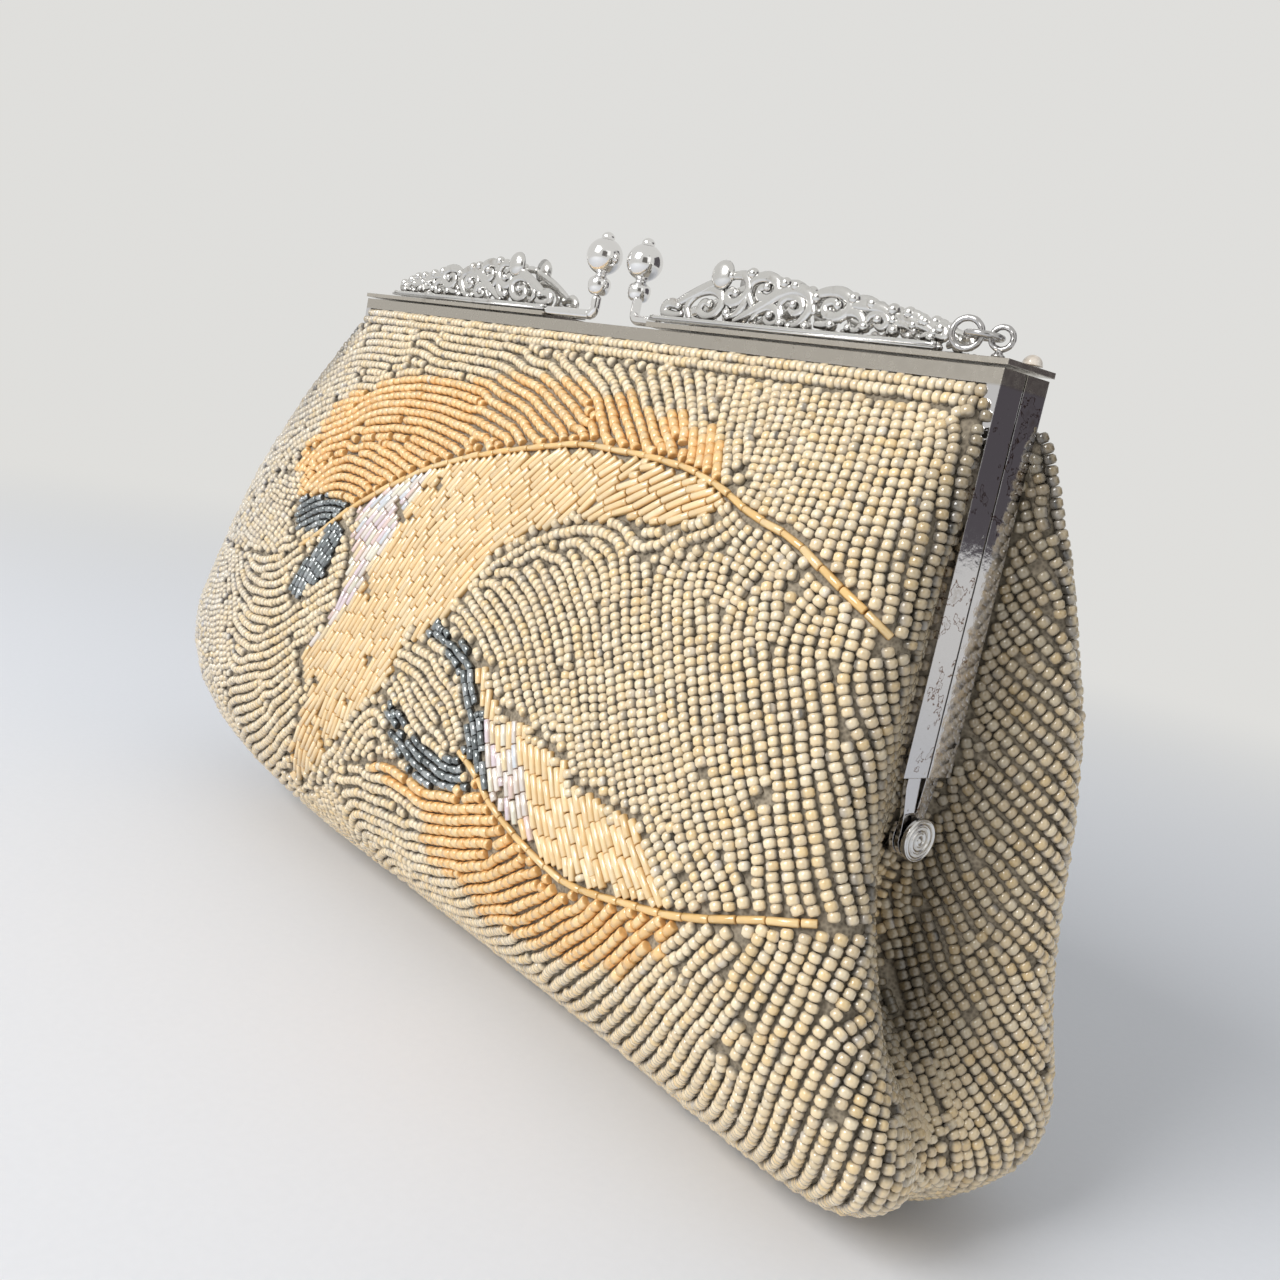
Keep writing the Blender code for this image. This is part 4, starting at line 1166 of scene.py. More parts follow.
backStrokes = plainStrokes + flankStrokes + [[(-s, v) for s, v in stroke] for stroke in flankStrokes]
backThreads = layThreads(panels["back"], [(everywhere, "cream", backStrokes)], [], edgingRows(panels["back"]))
print("threads laid", len(frontThreads.threads), len(backThreads.threads))


beading = {
    # a bead is left out nearer than this share of the spacing to another thread's bead
    "roundNearShare": 0.58, "bugleNearShare": 0.52, "bucket": 2, "coreStep": 1.2,
    "gap": 0.25, "endGap": 0.5, "roundLeastShare": 0.6, "bugleLeastShare": 0.3, "evenBelow": 4,
    # the bead kind changes this far to either side of its border; pitch varies between these shares
    "borderShift": 3, "pitchShares": (0.96, 1.04), "firstBugleShares": (0.35, 1),
    "sides": 10, "mostInPiece": 2300, "uvMargin": 0.08, "uvRings": (0.15, 0.35, 0.65, 0.85),
    # spread of tilt, lift and sideways place from bead to bead, for round beads and for bugles
    "tilt": (0.035, 0.012), "lift": 0.05, "aside": (0.06, 0.03),
    # spread and limits of a bead's radius and length
    "radiusSpread": (0.035, 0.88, 1.1), "lengthSpread": (0.02, 0.94, 1.06),
}
tinting = {
    # choice of core colour, spread and limits of its lightness
    "choicePower": 1.6, "light": (0.05, 0.86, 1.1),
    # cores show through the top of the glass, leaning a little to one side
    "lean": (0.30, 0.15), "tipFacing": 0.4, "coreFrom": 0.22, "coreFade": 0.40,
    # painted glints and reflections: the glass flanks vary at random around each bead, from dark to bright
    "flankGlintPower": 1.5, "flankGlintSpan": 1.7, "flankGlintLeast": 0.35, "tipFlank": 0.6, "bugleFlankGlint": (0.8, 0.3),
    # the left end is painted darker and bluer, standing for glass seen at a grazing angle, and painted shade
    # darkens the valley at each end
    "paintedGrazingGrey": (0.22, 0.14, -0.08), "paintedGrazingGreyFrom": 60, "paintedGrazingGreyFade": 45,
    "valleyShade": 0.86, "valleyFrom": 86, "valleyFade": 6, "valleyDepth": 3.5, "valleyReach": 16,
}
# along the bead and its radius as shares, and how much of the core colour shows
beadRings = {
    "round": [(-0.50, 0.0, 0.2), (-0.46, 0.70, 0.55), (-0.25, 0.98, 1.0)],
    "bugle": [(-0.47, 0.0, 0.1), (-0.50, 0.72, 0.3), (-0.46, 1.0, 0.9)],
}


def crowded(taken, points, near, owner):
    # is a bead of another thread already here?
    for x, y, z in points:
        i, j, k = (int(c // beading["bucket"]) for c in (x, y, z))
        for a in (i - 1, i, i + 1):
            for b in (j - 1, j, j + 1):
                for c in (k - 1, k, k + 1):
                    for px, py, pz, other in taken.get((a, b, c), ()):
                        if other != owner and (px - x) ** 2 + (py - y) ** 2 + (pz - z) ** 2 < near * near:
                            return True
    return False


def beadsOnThread(panel, maker, label, path, beads, taken, owner):
    s, v = (np.array([p[k] for p in path]) for k in (0, 1))
    points, normals = panel.place(s, v), panel.normal(s, v)
    run = runOf(points)
    total = run[-1]
    shift = random.uniform(-beading["borderShift"], beading["borderShift"])
    at = 0.0
    names = list(beadKinds)

    def along(table, where):
        return np.array([np.interp(where, run, table[:, k]) for k in range(3)])

    while at < total - beading["endGap"]:
        name = label
        if not isinstance(label, str):
            where = min(max(at + shift, 0), total)
            spot = [float(np.interp(where, run, axis)) for axis in (s, v)]
            name = names[maker.lookup(maker.kindMap, *spot)]
        kind = beadKinds[name]
        pitch = kind["pitch"] * random.uniform(*beading["pitchShares"])
        if kind["round"]:
            left = max(1, round((total - at + beading["gap"]) / kind["pitch"]))
            pitch = (total - at + beading["gap"]) / left if left < beading["evenBelow"] else pitch
        else:
            if at == 0:
                pitch *= random.uniform(*beading["firstBugleShares"])
            pitch = min(pitch, total - at)
        sort = "round" if kind["round"] else "bugle"
        if pitch < beading[sort + "LeastShare"] * kind["pitch"]:
            break
        start, end = along(points, at), along(points, at + pitch)
        up = along(normals, at + pitch / 2)
        at += pitch
        count = max(1, round(pitch / beading["coreStep"]))
        core = [(start + (end - start) * (n + 0.5) / count).tolist() for n in range(count)]
        if crowded(taken, core, beading[sort + "NearShare"] * kind["spacing"], owner):
            continue
        for spot in core:
            taken.setdefault(tuple(int(c // beading["bucket"]) for c in spot), []).append((*spot, owner))
        beads[name].append((*(start + end) / 2, *(end - start), *up, pitch / kind["pitch"]))


def beadTemplate(isRound, sides):
    # one bead along x: its points, which side and how much core each shows, its faces and their map
    half = beadRings["round" if isRound else "bugle"]
    rings = half + [(-along, radius, share) for along, radius, share in half[::-1]]
    points, turns, shares = [], [], []
    for along, radius, share in rings:
        for k in range(sides if radius else 1):
            turn = 2 * math.pi * k / sides
            points.append((along, radius * math.cos(turn), radius * math.sin(turn)))
            turns.append(k if radius else -1)
            shares.append(share)
    faces, uvs = [], []
    heights = beading["uvRings"]
    middle = [1 + i * sides for i in range(len(rings) - 2)]
    last = len(points) - 1
    for k in range(sides):
        n = (k + 1) % sides
        a, b = k / sides, (k + 1) / sides
        faces.append((0, middle[0] + k, middle[0] + n))
        uvs.append(((a + b) / 2, 0.0, a, heights[0], b, heights[0]))
        for ring, (low, high) in enumerate(zip(heights, heights[1:])):
            near, far = middle[ring], middle[ring + 1]
            faces += [(near + k, far + k, far + n), (near + k, far + n, near + n)]
            uvs += [(a, low, a, high, b, high), (a, low, b, high, b, low)]
        faces.append((last, middle[-1] + n, middle[-1] + k))
        uvs.append(((a + b) / 2, 1.0, b, heights[-1], a, heights[-1]))
    uvs = np.array(uvs).reshape(-1, 3, 2)
    return np.array(points), np.array(turns), np.array(shares), np.array(faces), uvs


def unit(vectors):
    return vectors / np.maximum(np.linalg.norm(vectors, axis=1, keepdims=True), 1e-6)


def forSort(kind, values):
    return values[0] if kind["round"] else values[1]


def beadTints(kind, sides, turns, shares, center):
    t = tinting
    count = len(center)
    choices = kind["core"]
    lightSpread, darkest, lightest = t["light"]
    bugleBase, bugleGlintShare = t["bugleFlankGlint"]
    pick = (dice.random(count) ** t["choicePower"] * len(choices)).astype(int)
    pick = np.minimum(pick, len(choices) - 1)
    light = dice.normal(1, lightSpread, (count, 1)).clip(darkest, lightest)
    lean = dice.normal(0, forSort(kind, t["lean"]), (count, 1))
    facing = np.where(turns < 0, t["tipFacing"], np.cos(2 * math.pi * turns / sides - lean))
    core = shares * ((facing - t["coreFrom"]) / t["coreFade"]).clip(0, 1)
    # painted glints: the clear glass flank of each bead turns at random from dark to bright around it
    flankGlint = dice.random((count, sides)) ** t["flankGlintPower"] * t["flankGlintSpan"] + t["flankGlintLeast"]
    flankGlint = np.concatenate([flankGlint, np.full((count, 1), t["tipFlank"])], 1)[:, turns][..., None]
    rims = np.array(kind["rim"]) * (flankGlint if kind["round"] else bugleBase + bugleGlintShare * flankGlint)
    tint = rims + ((np.array(choices)[pick] * light)[:, None] - rims) * core[..., None]
    deep = ((np.abs(center[:, 0]) - t["valleyFrom"]) / t["valleyFade"]).clip(0, 1)
    deep *= 1 - ((np.abs(center[:, 1]) - t["valleyDepth"]) / t["valleyReach"]).clip(0, 1)
    deep *= ((center[:, 2] - t["valleyReach"]) / t["valleyReach"]).clip(0, 1)
    tint *= (1 - t["valleyShade"] * deep)[:, None, None]
    # painted reflection and shade: round beads towards the left end turn darker and bluer, as glass looks
    # when seen at a grazing angle
    if kind["round"]:
        paintedGrazingGrey = ((-t["paintedGrazingGreyFrom"] - center[:, 0]) / t["paintedGrazingGreyFade"]).clip(0, 1)[:, None, None]
        tint *= 1 - paintedGrazingGrey * np.array(t["paintedGrazingGrey"])
    return np.concatenate([tint, np.ones((*tint.shape[:2], 1))], 2)


def beadMesh(name, beads, kind, sides):
    points, turns, shares, faces, uvs = beadTemplate(kind["round"], sides)
    data = np.array(beads)
    center, up, share = data[:, 0:3], data[:, 6:9], data[:, 9]
    count = len(data)
    axis = unit(unit(data[:, 3:6]) + dice.normal(0, forSort(kind, beading["tilt"]), (count, 3)))
    up = unit(up - axis * (up * axis).sum(1, keepdims=True))
    side = np.cross(axis, up)
    spread, least, most = beading["radiusSpread"]
    radius = kind["radius"] * dice.normal(1, spread, count).clip(least, most)
    spread, least, most = beading["lengthSpread"]
    length = kind["length"] * share * dice.normal(1, spread, count).clip(least, most)
    center = center + up * (kind["rise"] * kind["radius"] + dice.normal(0, beading["lift"], count))[:, None]
    center += side * dice.normal(0, forSort(kind, beading["aside"]), count)[:, None]
    spots = center[:, None] + sum(
        way[:, None] * (points[None, :, k:k + 1] * size[:, None, None])
        for k, (way, size) in enumerate(((axis, length), (up, radius), (side, radius)))
    )
    mesh = bpy.data.meshes.new(name)
    allFaces = (faces[None] + len(points) * np.arange(count)[:, None, None]).reshape(-1, 3)
    mesh.vertices.add(count * len(points))
    mesh.vertices.foreach_set("co", (spots * mm).reshape(-1).astype(np.float32))
    mesh.loops.add(allFaces.size)
    mesh.loops.foreach_set("vertex_index", allFaces.reshape(-1).astype(np.int32))
    mesh.polygons.add(len(allFaces))
    mesh.polygons.foreach_set("loop_start", np.arange(0, allFaces.size, 3, dtype=np.int32))
    mesh.update(calc_edges=True)
    mesh.shade_smooth()
    tint = beadTints(kind, sides, turns, shares, center)
    colors = mesh.color_attributes.new("tint", "FLOAT_COLOR", "POINT")
    colors.data.foreach_set("color", tint.reshape(-1).astype(np.float32))
    # each bead has its own square of the map
    cells = math.ceil(math.sqrt(count))
    corner = np.stack([np.arange(count) % cells, np.arange(count) // cells], 1)
    margin = beading["uvMargin"]
    flat = (corner[:, None, None] + margin + (1 - 2 * margin) * uvs[None]) / cells
    layer = mesh.uv_layers.new(name="OFBake")
    layer.data.foreach_set("uv", flat.reshape(-1).astype(np.float32))
    return mesh


def placeBeads(face, maker):
    beads = {name: [] for name in beadKinds}
    taken = {}
    for owner, (label, path) in enumerate(maker.threads):
        beadsOnThread(panels[face], maker, label, path, beads, taken, owner)
    for name, rows in beads.items():
        rows.sort(key=lambda row: -row[2])
        parts = math.ceil(len(rows) / beading["mostInPiece"])
        for part in range(parts):
            some = rows[part * len(rows) // parts:(part + 1) * len(rows) // parts]
            title = f"{face}_{name}_beads_{part + 1}"
            kind = beadKinds[name]
            mesh = beadMesh(title, some, kind, beading["sides"])
            bendWith(addObject(title, mesh, kind["material"], slot="glass_beads"), face)
    print(face, "beads", {name: len(rows) for name, rows in beads.items()})


placeBeads("front", frontThreads)
placeBeads("back", backThreads)

# Side seams, pocket and cords

seamShape = {"from": 3.5, "to": 52, "step": 1.4, "inside": 0.9}


def seamBeads(side, word):
    heights = np.arange(seamShape["from"], seamShape["to"], seamShape["step"])
    valley = np.interp(heights, clothShape["height"], clothShape["valley" + word.title()])
    rows = [(side * x - side * seamShape["inside"], 0, h, 0, 0, 1, side, 0, 0, 1)
            for x, h in zip(valley.tolist(), heights.tolist())]
    title = word + "_seam_beads"
    kind = beadKinds["cream"]
    mesh = beadMesh(title, rows, kind, beading["sides"])
    addObject(title, mesh, kind["material"], "pouch", [word + "_gusset"], "glass_beads")


seamBeads(1, "right")
seamBeads(-1, "left")

pocketShape = {
    "half": 45, "top": 72, "bottom": 96, "grid": (25, 61), "gap": 2.7, "thick": 0.5,
    "puff": 0.25, "ripple": 0.12, "rippleTurn": 0.5,
}


def slipPocket():
    c = pocketShape
    panel = panels["back"]
    down, across = c["grid"]
    s, v = np.meshgrid(np.linspace(-c["half"], c["half"], across), np.linspace(c["top"], c["bottom"], down))
    place, normal = panel.place(s, v), panel.normal(s, v)
    middle, reach = (c["top"] + c["bottom"]) / 2, (c["bottom"] - c["top"]) / 2
    puff = c["puff"] * (1 - np.abs(s / c["half"]) ** 6) * (1 - ((v - middle) / reach) ** 6)
    puff += c["ripple"] * np.sin(s * c["rippleTurn"])
    near = place - normal * (c["gap"] + puff)[..., None]
    mesh = sheetMesh("slip_pocket", near, near - normal * c["thick"])
    bendWith(addObject("slip_pocket", mesh, liningSatin, None, ["inner_slip_pocket"], "lining_satin"), "back")


slipPocket()

# Sweeps and turned shapes for the metal and the cords


def circle(radius, sides):
    turns = [2 * math.pi * k / sides for k in range(sides)]
    return [(radius * math.cos(turn), radius * math.sin(turn)) for turn in turns]


def sweep(path, radius, sides=10, closed=False, flatten=1.0, tipShare=0.6):
    # tube along points; radius is one value or one for each point; flatten squeezes it along y
    p = np.array(path, float)
    count = len(p)
    radius = np.broadcast_to(radius, (count,))
    tangent = np.roll(p, -1, 0) - np.roll(p, 1, 0) if closed else np.gradient(p, axis=0)
    tangent /= np.linalg.norm(tangent, axis=1, keepdims=True) + 1e-12
    start = np.array([0, 1, 0]) if abs(tangent[0][1]) < 0.9 else np.array([1, 0, 0])
    side = np.cross(tangent[0], start)
    side /= np.linalg.norm(side)
    points, faces = [], []
    for i in range(count):
        side = side - tangent[i] * (side @ tangent[i])
        side /= np.linalg.norm(side)
        other = np.cross(tangent[i], side)
        points += [p[i] + (side * a + other * b) * [1, flatten, 1] * radius[i] for a, b in circle(1, sides)]
    for i in range(count if closed else count - 1):
        for k in range(sides):
            n, j = (k + 1) % sides, (i + 1) % count
            faces.append((i * sides + k, i * sides + n, j * sides + n, j * sides + k))
    ends = () if closed else ((0, -1), (count - 1, 1))
    for i, way in ends:
        tip = len(points)
        points.append(p[i] + tangent[i] * way * radius[i] * tipShare)
        for k in range(sides):
            a, b = i * sides + k, i * sides + (k + 1) % sides
            faces.append((b, a, tip) if way < 0 else (a, b, tip))
    return points, faces


def ringsOf(rows, place, sides):
    # closed skin over rows of (radius, height); place turns (a, b, height) into a point
    points, rings = [], []
    for radius, height in rows:
        ring = circle(radius, sides) if radius > 1e-4 else [(0, 0)]
        rings.append(range(len(points), len(points) + len(ring)))
        points += [place(a, b, height) for a, b in ring]
    faces = []
    for low, high in zip(rings, rings[1:]):
        for k in range(sides):
            n = (k + 1) % sides
            face = [low[k % len(low)], low[n % len(low)], high[n % len(high)], high[k % len(high)]]
            faces.append(tuple(dict.fromkeys(face)))
    return points, faces


def turned(profile, base, sides=48):
    # profile rows: distance from the axis and height, from the bottom up, starting and ending on the axis
    return ringsOf(profile, lambda a, b, height: (base[0] + a, base[1] + b, base[2] + height), sides)


def turnedBall(center, radius, rings=7, sides=12):
    turns = [math.pi * i / rings for i in range(1, rings)]
    rows = [(0, -radius)] + [(radius * math.sin(t), -radius * math.cos(t)) for t in turns] + [(0, radius)]
    return turned(rows, center, sides)


def joinShapes(shapes):
    points, faces = [], []
    for some, rows in shapes:
        start = len(points)
        points += [tuple(p) for p in some]
        faces += [tuple(start + i for i in row) for row in rows]
    return points, faces


def outwards(mesh, joinWithin=0.0):
    # faces turned outwards; points nearer than joinWithin, in metres, become one
    work = bmesh.new()
    work.from_mesh(mesh)
    if joinWithin:
        bmesh.ops.remove_doubles(work, verts=work.verts, dist=joinWithin)
    bmesh.ops.recalc_face_normals(work, faces=work.faces)
    work.to_mesh(mesh)
    work.free()


def addMetal(name, shapes, material, body, replaced, slot="nickel_plate", joinWithin=0.0):
    points, faces = joinShapes(shapes)
    mesh = newMesh(name, np.array(points) * mm, faces)
    outwards(mesh, joinWithin)
    addObject(name, mesh, material, body, [replaced], slot)


cordShape = {
    "side": 90.85, "depth": 2.575, "top": 118.85, "low": 68.9, "corner": 1,
    "radius": 0.14, "sides": 5, "twist": 1.1, "offset": 0.11, "step": 0.28,
}


def retainingCord(face, sign):
    c = cordShape
    y, side, top, bend = sign * c["depth"], c["side"], c["top"], c["corner"]
    right = [(side - bend, y, top), (side, y, top - bend), (side, y, c["low"])]
    corners = [(-x, y, z) for x, y, z in right[::-1]] + right
    points = []
    for a, b in zip(corners, corners[1:]):
        count = max(2, int(math.dist(a, b) / c["step"]))
        points += [tuple(a[k] + (b[k] - a[k]) * n / count for k in range(3)) for n in range(count)]
    p = np.array(points + [corners[-1]])
    tangent = np.gradient(p, axis=0)
    tangent /= np.linalg.norm(tangent, axis=1, keepdims=True)
    run = runOf(p)
    across = np.cross(tangent, [0, 1, 0])
    plies = []
    for phase in (0, math.pi):
        turn = (2 * math.pi * run / c["twist"] + phase)[:, None]
        around = across * np.cos(turn) + np.array([0, 1, 0]) * np.sin(turn)
        plies.append(sweep(p + c["offset"] * around, c["radius"], c["sides"]))
    body, node = face + "_frame", face + "_retaining_cord"
    addMetal(face + "_twisted_cord", plies, cordThread, body, node, "retaining_cord")


retainingCord("front", -1)
retainingCord("back", 1)
print("seams, pocket and cords made")

# Crests and rails on the two top plates

plateEnds = (("right", 1, "front_frame"), ("left", -1, "back_frame"))
plateWalls = [(*end, wall, face) for end in plateEnds for wall, face in (("front", -1), ("back", 1))]
crestShape = {
    # pierced scrollwork, given for the right end; x runs from the middle, z up from the plate
    "wall": 2.95, "plate": 121.2, "boss": 0.95, "flatten": 0.6, "tip": 0.8,
    "thickness": 1.95, "taper": (0.94, 0.03), "taperPower": 0.7, "peak": (31.6, 8.8, 2.5), "peakShare": 0.62,
    "peakBack": 0.35, "peakSides": 20, "peakRings": 7, "foot": (18.6, 79.4, 0.75, 0.42),
    "scrolls": [
        # thickest radius, points
        (0.55, [(22.9, 2.1), (20.8, 1.6), (18.5, 1.9), (18.0, 3.0), (19.5, 3.7), (21.7, 3.3)]),
        (0.55, [(20.2, 3.4), (24.2, 5.1), (28.7, 6.9), (33.7, 8.8)]),
        (0.50, [(25.0, 1.3), (23.9, 3.5), (25.9, 5.6), (29.6, 6.4), (32.4, 5.3), (31.8, 3.0), (29.2, 1.9),
                (27.2, 2.9), (28.0, 4.3), (29.6, 4.1)]),
        (0.50, [(33.7, 8.8), (36.8, 8.9), (38.4, 7.3), (37.5, 5.5), (35.1, 4.5), (33.3, 5.3), (34.0, 6.4),
                (35.6, 6.1)]),
        (0.45, [(38.0, 7.1), (37.9, 4.6), (36.6, 2.9), (34.8, 2.2)]),
        (0.50, [(39.9, 4.3), (38.5, 6.2), (39.0, 8.1), (41.7, 8.9), (44.5, 8.2), (44.8, 6.5), (42.8, 5.5),
                (40.9, 6.1), (41.1, 7.2), (42.6, 7.4)]),
        (0.55, [(36.1, 1.5), (39.3, 3.1), (43.0, 4.9), (46.0, 6.5), (49.6, 7.2), (52.6, 6.2), (52.7, 4.1),
                (50.9, 2.1), (49.2, 1.6)]),
        (0.42, [(40.3, 2.1), (41.5, 3.5), (43.9, 4.3), (46.1, 3.6), (46.4, 2.3), (44.7, 1.7), (43.5, 2.5),
                (44.4, 3.1)]),
        (0.42, [(47.1, 3.2), (46.2, 4.9), (47.7, 6.1), (50.4, 5.8), (51.3, 4.5), (49.9, 3.7), (48.6, 4.3),
                (49.2, 5.0)]),
        (0.50, [(53.9, 3.9), (53.2, 5.8), (55.0, 7.0), (58.5, 7.2), (60.9, 6.2), (60.7, 4.6), (58.7, 3.6),
                (56.4, 4.0), (55.9, 5.3), (57.4, 5.9), (58.7, 5.3)]),
        (0.45, [(54.5, 2.3), (57.0, 2.5), (59.7, 4.2), (62.7, 4.4), (64.2, 3.2), (63.1, 1.9), (61.6, 2.2)]),
        (0.48, [(60.1, 5.8), (62.9, 5.6), (65.9, 5.5), (68.3, 5.0), (69.9, 3.9)]),
        (0.40, [(64.6, 3.0), (65.4, 4.3), (67.4, 4.7), (68.9, 3.7), (68.0, 2.7), (66.7, 3.2), (67.0, 3.8)]),
        (0.40, [(69.2, 1.9), (70.1, 3.3), (72.1, 3.5), (73.9, 2.7), (73.4, 1.8)]),
        (0.45, [(69.7, 4.6), (72.7, 4.1), (75.4, 3.5), (77.7, 2.7)]),
        (0.38, [(71.2, 4.0), (72.2, 4.8), (74.1, 4.7), (74.8, 3.8), (73.7, 3.4)]),
        (0.42, [(75.4, 1.9), (77.3, 2.5), (79.3, 2.2), (79.6, 2.6), (79.0, 3.2), (77.4, 3.5), (75.8, 4.0)]),
    ],
    "bosses": [
        (38.6, 9.3), (46.5, 8.1), (49.0, 7.8), (53.9, 6.3), (61.5, 6.5), (65.3, 5.9),
        (69.5, 5.3), (72.5, 5.0), (75.2, 4.2), (78.7, 3.3), (34.3, 2.8), (47.2, 1.9),
        (52.8, 1.8), (58.0, 2.4), (64.7, 2.6), (70.4, 2.4), (77.4, 1.9),
    ],
}


def dome(center, radius, outward):
    # low boss facing outward along y, closed behind
    rings = crestShape["peakRings"]
    turns = [math.pi / 2 * i / rings for i in range(rings + 1)]
    rows = [(radius * math.cos(t), outward * radius * crestShape["peakShare"] * math.sin(t)) for t in turns]
    rows.insert(0, (0, -outward * crestShape["peakBack"]))
    sides = crestShape["peakSides"]
    return ringsOf(rows, lambda a, b, y: (center[0] + a, center[1] + y, center[2] + b), sides)


def crest(word, side, body, wall, face):
    c = crestShape
    y = face * c["wall"]
    slope, start = c["taper"]
    shapes = []
    for thick, points in c["scrolls"]:
        curve = smoothCurve([(side * x, z) for x, z in points], 7 * len(points))
        share = np.clip(np.linspace(0, 1, len(curve)) * slope + start, 0, 1)
        radius = c["thickness"] * thick * (0.5 + 0.5 * np.sin(np.pi * share) ** c["taperPower"])
        path = [(x, y, c["plate"] + z) for x, z in curve]
        shapes += [sweep(path, radius, flatten=c["flatten"]), turnedBall(path[-1], c["tip"])]
    shapes += [turnedBall((side * x, y, c["plate"] + z), c["boss"]) for x, z in c["bosses"]]
    x, z, r = c["peak"]
    shapes.append(dome((side * x, y, c["plate"] + z), r, face))
    low, high, z, r = c["foot"]
    shapes.append(sweep([(side * x, y, c["plate"] + z) for x in np.linspace(low, high, 40)], r, 8))
    addMetal(f"{word}_{wall}_scrollwork", shapes, castPlate, body, f"{word}_{wall}_crest")


for plateWall in plateWalls:
    crest(*plateWall)

railShape = {
    "inner": 16.75, "inset": 0.3, "outer": 79.2, "ridges": (4.87, 4.22), "height": 122.12, "radius": 0.36,
    "steps": 60, "taperRun": 40, "taperLength": 3, "taperFrom": 0.45,
    "bed": (121.5, 121.9), "bedDepth": (3.95, 5.15), "bedPast": 0.6,
    "knob": 0.55, "knobDepth": 4.55, "knobDrop": 0.1,
}
boxFaces = [(0, 1, 3, 2), (4, 6, 7, 5), (0, 4, 5, 1), (2, 3, 7, 6), (0, 2, 6, 4), (1, 5, 7, 3)]


def rail(word, side, body, wall, face):
    c = railShape
    left = np.linspace(c["taperRun"], 0, c["steps"])
    taper = np.clip(left / c["taperLength"] + c["taperFrom"], 0, 1)
    shapes = []
    for y in c["ridges"]:
        run = np.linspace(c["inner"] + c["inset"], c["outer"], c["steps"])
        path = [(side * x, face * y, c["height"]) for x in run]
        shapes.append(sweep(path, c["radius"] * taper))
    ends = (side * c["inner"], side * (c["outer"] + c["bedPast"]))
    corners = [(x, face * y, z) for x in ends for y in c["bedDepth"] for z in c["bed"]]
    shapes.append((corners, boxFaces))
    knob = (side * c["outer"], face * c["knobDepth"], c["height"] - c["knobDrop"])
    shapes.append(turnedBall(knob, c["knob"]))
    addMetal(f"{word}_{wall}_beading", shapes, castPlate, body, f"{word}_{wall}_rail")


for plateWall in plateWalls:
    rail(*plateWall)
print("crests and rails made")

# Ball clasp

claspShape = {
    "right": {"ball": (5.9, -0.1, 132.0), "foot": (9.0, -2.4), "side": 1, "body": "front_frame"},
    "left": {"ball": (-1.0, -4.1, 132.0), "foot": (-1.0, -4.1), "side": -1, "body": "back_frame"},
    "radius": 3.3, "steps": 26, "openTurn": 0.278, "nub": 1.3, "nubShare": 0.93, "nubFrom": 22,
    "collar": 2.1, "collarDrop": 4.9, "stem": 0.9, "plateInner": 16.1, "rod": 121.5, "bend": 1.6, "neck": 0.3,
    # radius and height as shares of the collar's radius
    "collarShares": [
        (0, -1), (0.42, -0.99), (0.62, -0.93), (0.80, -0.78), (0.93, -0.52), (1, -0.12), (0.985, 0.14),
        (0.90, 0.36), (0.74, 0.50), (0.56, 0.60), (0.48, 0.72), (0.52, 0.86), (0, 0.9),
    ],
}


def claspBall():
    # a ball whose top runs over into a small nub
    c = claspShape
    r, nub, middle = c["radius"], c["nub"], c["radius"] * c["nubShare"]
    turns = [math.pi * i / c["steps"] for i in range(1, c["steps"])]
    profile = [(0, -r)] + [(r * math.sin(t), -r * math.cos(t)) for t in turns if math.pi - t >= c["openTurn"]]
    start = math.radians(c["nubFrom"])
    turns = [start + (math.pi / 2 - start) * i / 9 for i in range(9)]
    profile += [(nub * math.cos(t), middle + nub * math.sin(t)) for t in turns]
    return profile + [(0, middle + nub)]


def claspHalf(word):
    c = claspShape
    half = c[word]
    ball, side, body = half["ball"], half["side"], half["body"]
    addMetal(f"{word}_round_ball", [turned(claspBall(), ball, 64)], mirrorPlate, body, f"{word}_clasp_ball")
    k = c["collar"]
    collar = (ball[0], ball[1], ball[2] - c["collarDrop"])
    rows = [(a * k, b * k) for a, b in c["collarShares"]]
    addMetal(f"{word}_neck_collar", [turned(rows, collar)], mirrorPlate, body, f"{word}_clasp_collar")
    corner = np.array([*half["foot"], c["rod"]])
    start = np.array([side * c["plateInner"], half["foot"][1], c["rod"]])
    lean = np.array(collar) - corner
    lean /= np.linalg.norm(lean)
    run = (start - corner) / np.linalg.norm(start - corner)
    before, after = corner + run * c["bend"], corner + lean * c["bend"]
    path = [start, start * 0.6 + corner * 0.4, before]
    for i in range(1, 8):
        t = i / 8
        path.append((1 - t) ** 2 * before + 2 * t * (1 - t) * corner + t * t * after)
    path += [after, np.array(collar) - lean * (k + c["neck"])]
    shapes = [sweep(smoothCurve(path, 60), c["stem"], 20)]
    addMetal(f"{word}_bent_stem", shapes, mirrorPlate, body, f"{word}_clasp_stem")


claspHalf("right")
claspHalf("left")

# Eye, link, ring and pearly rivet on the right plate

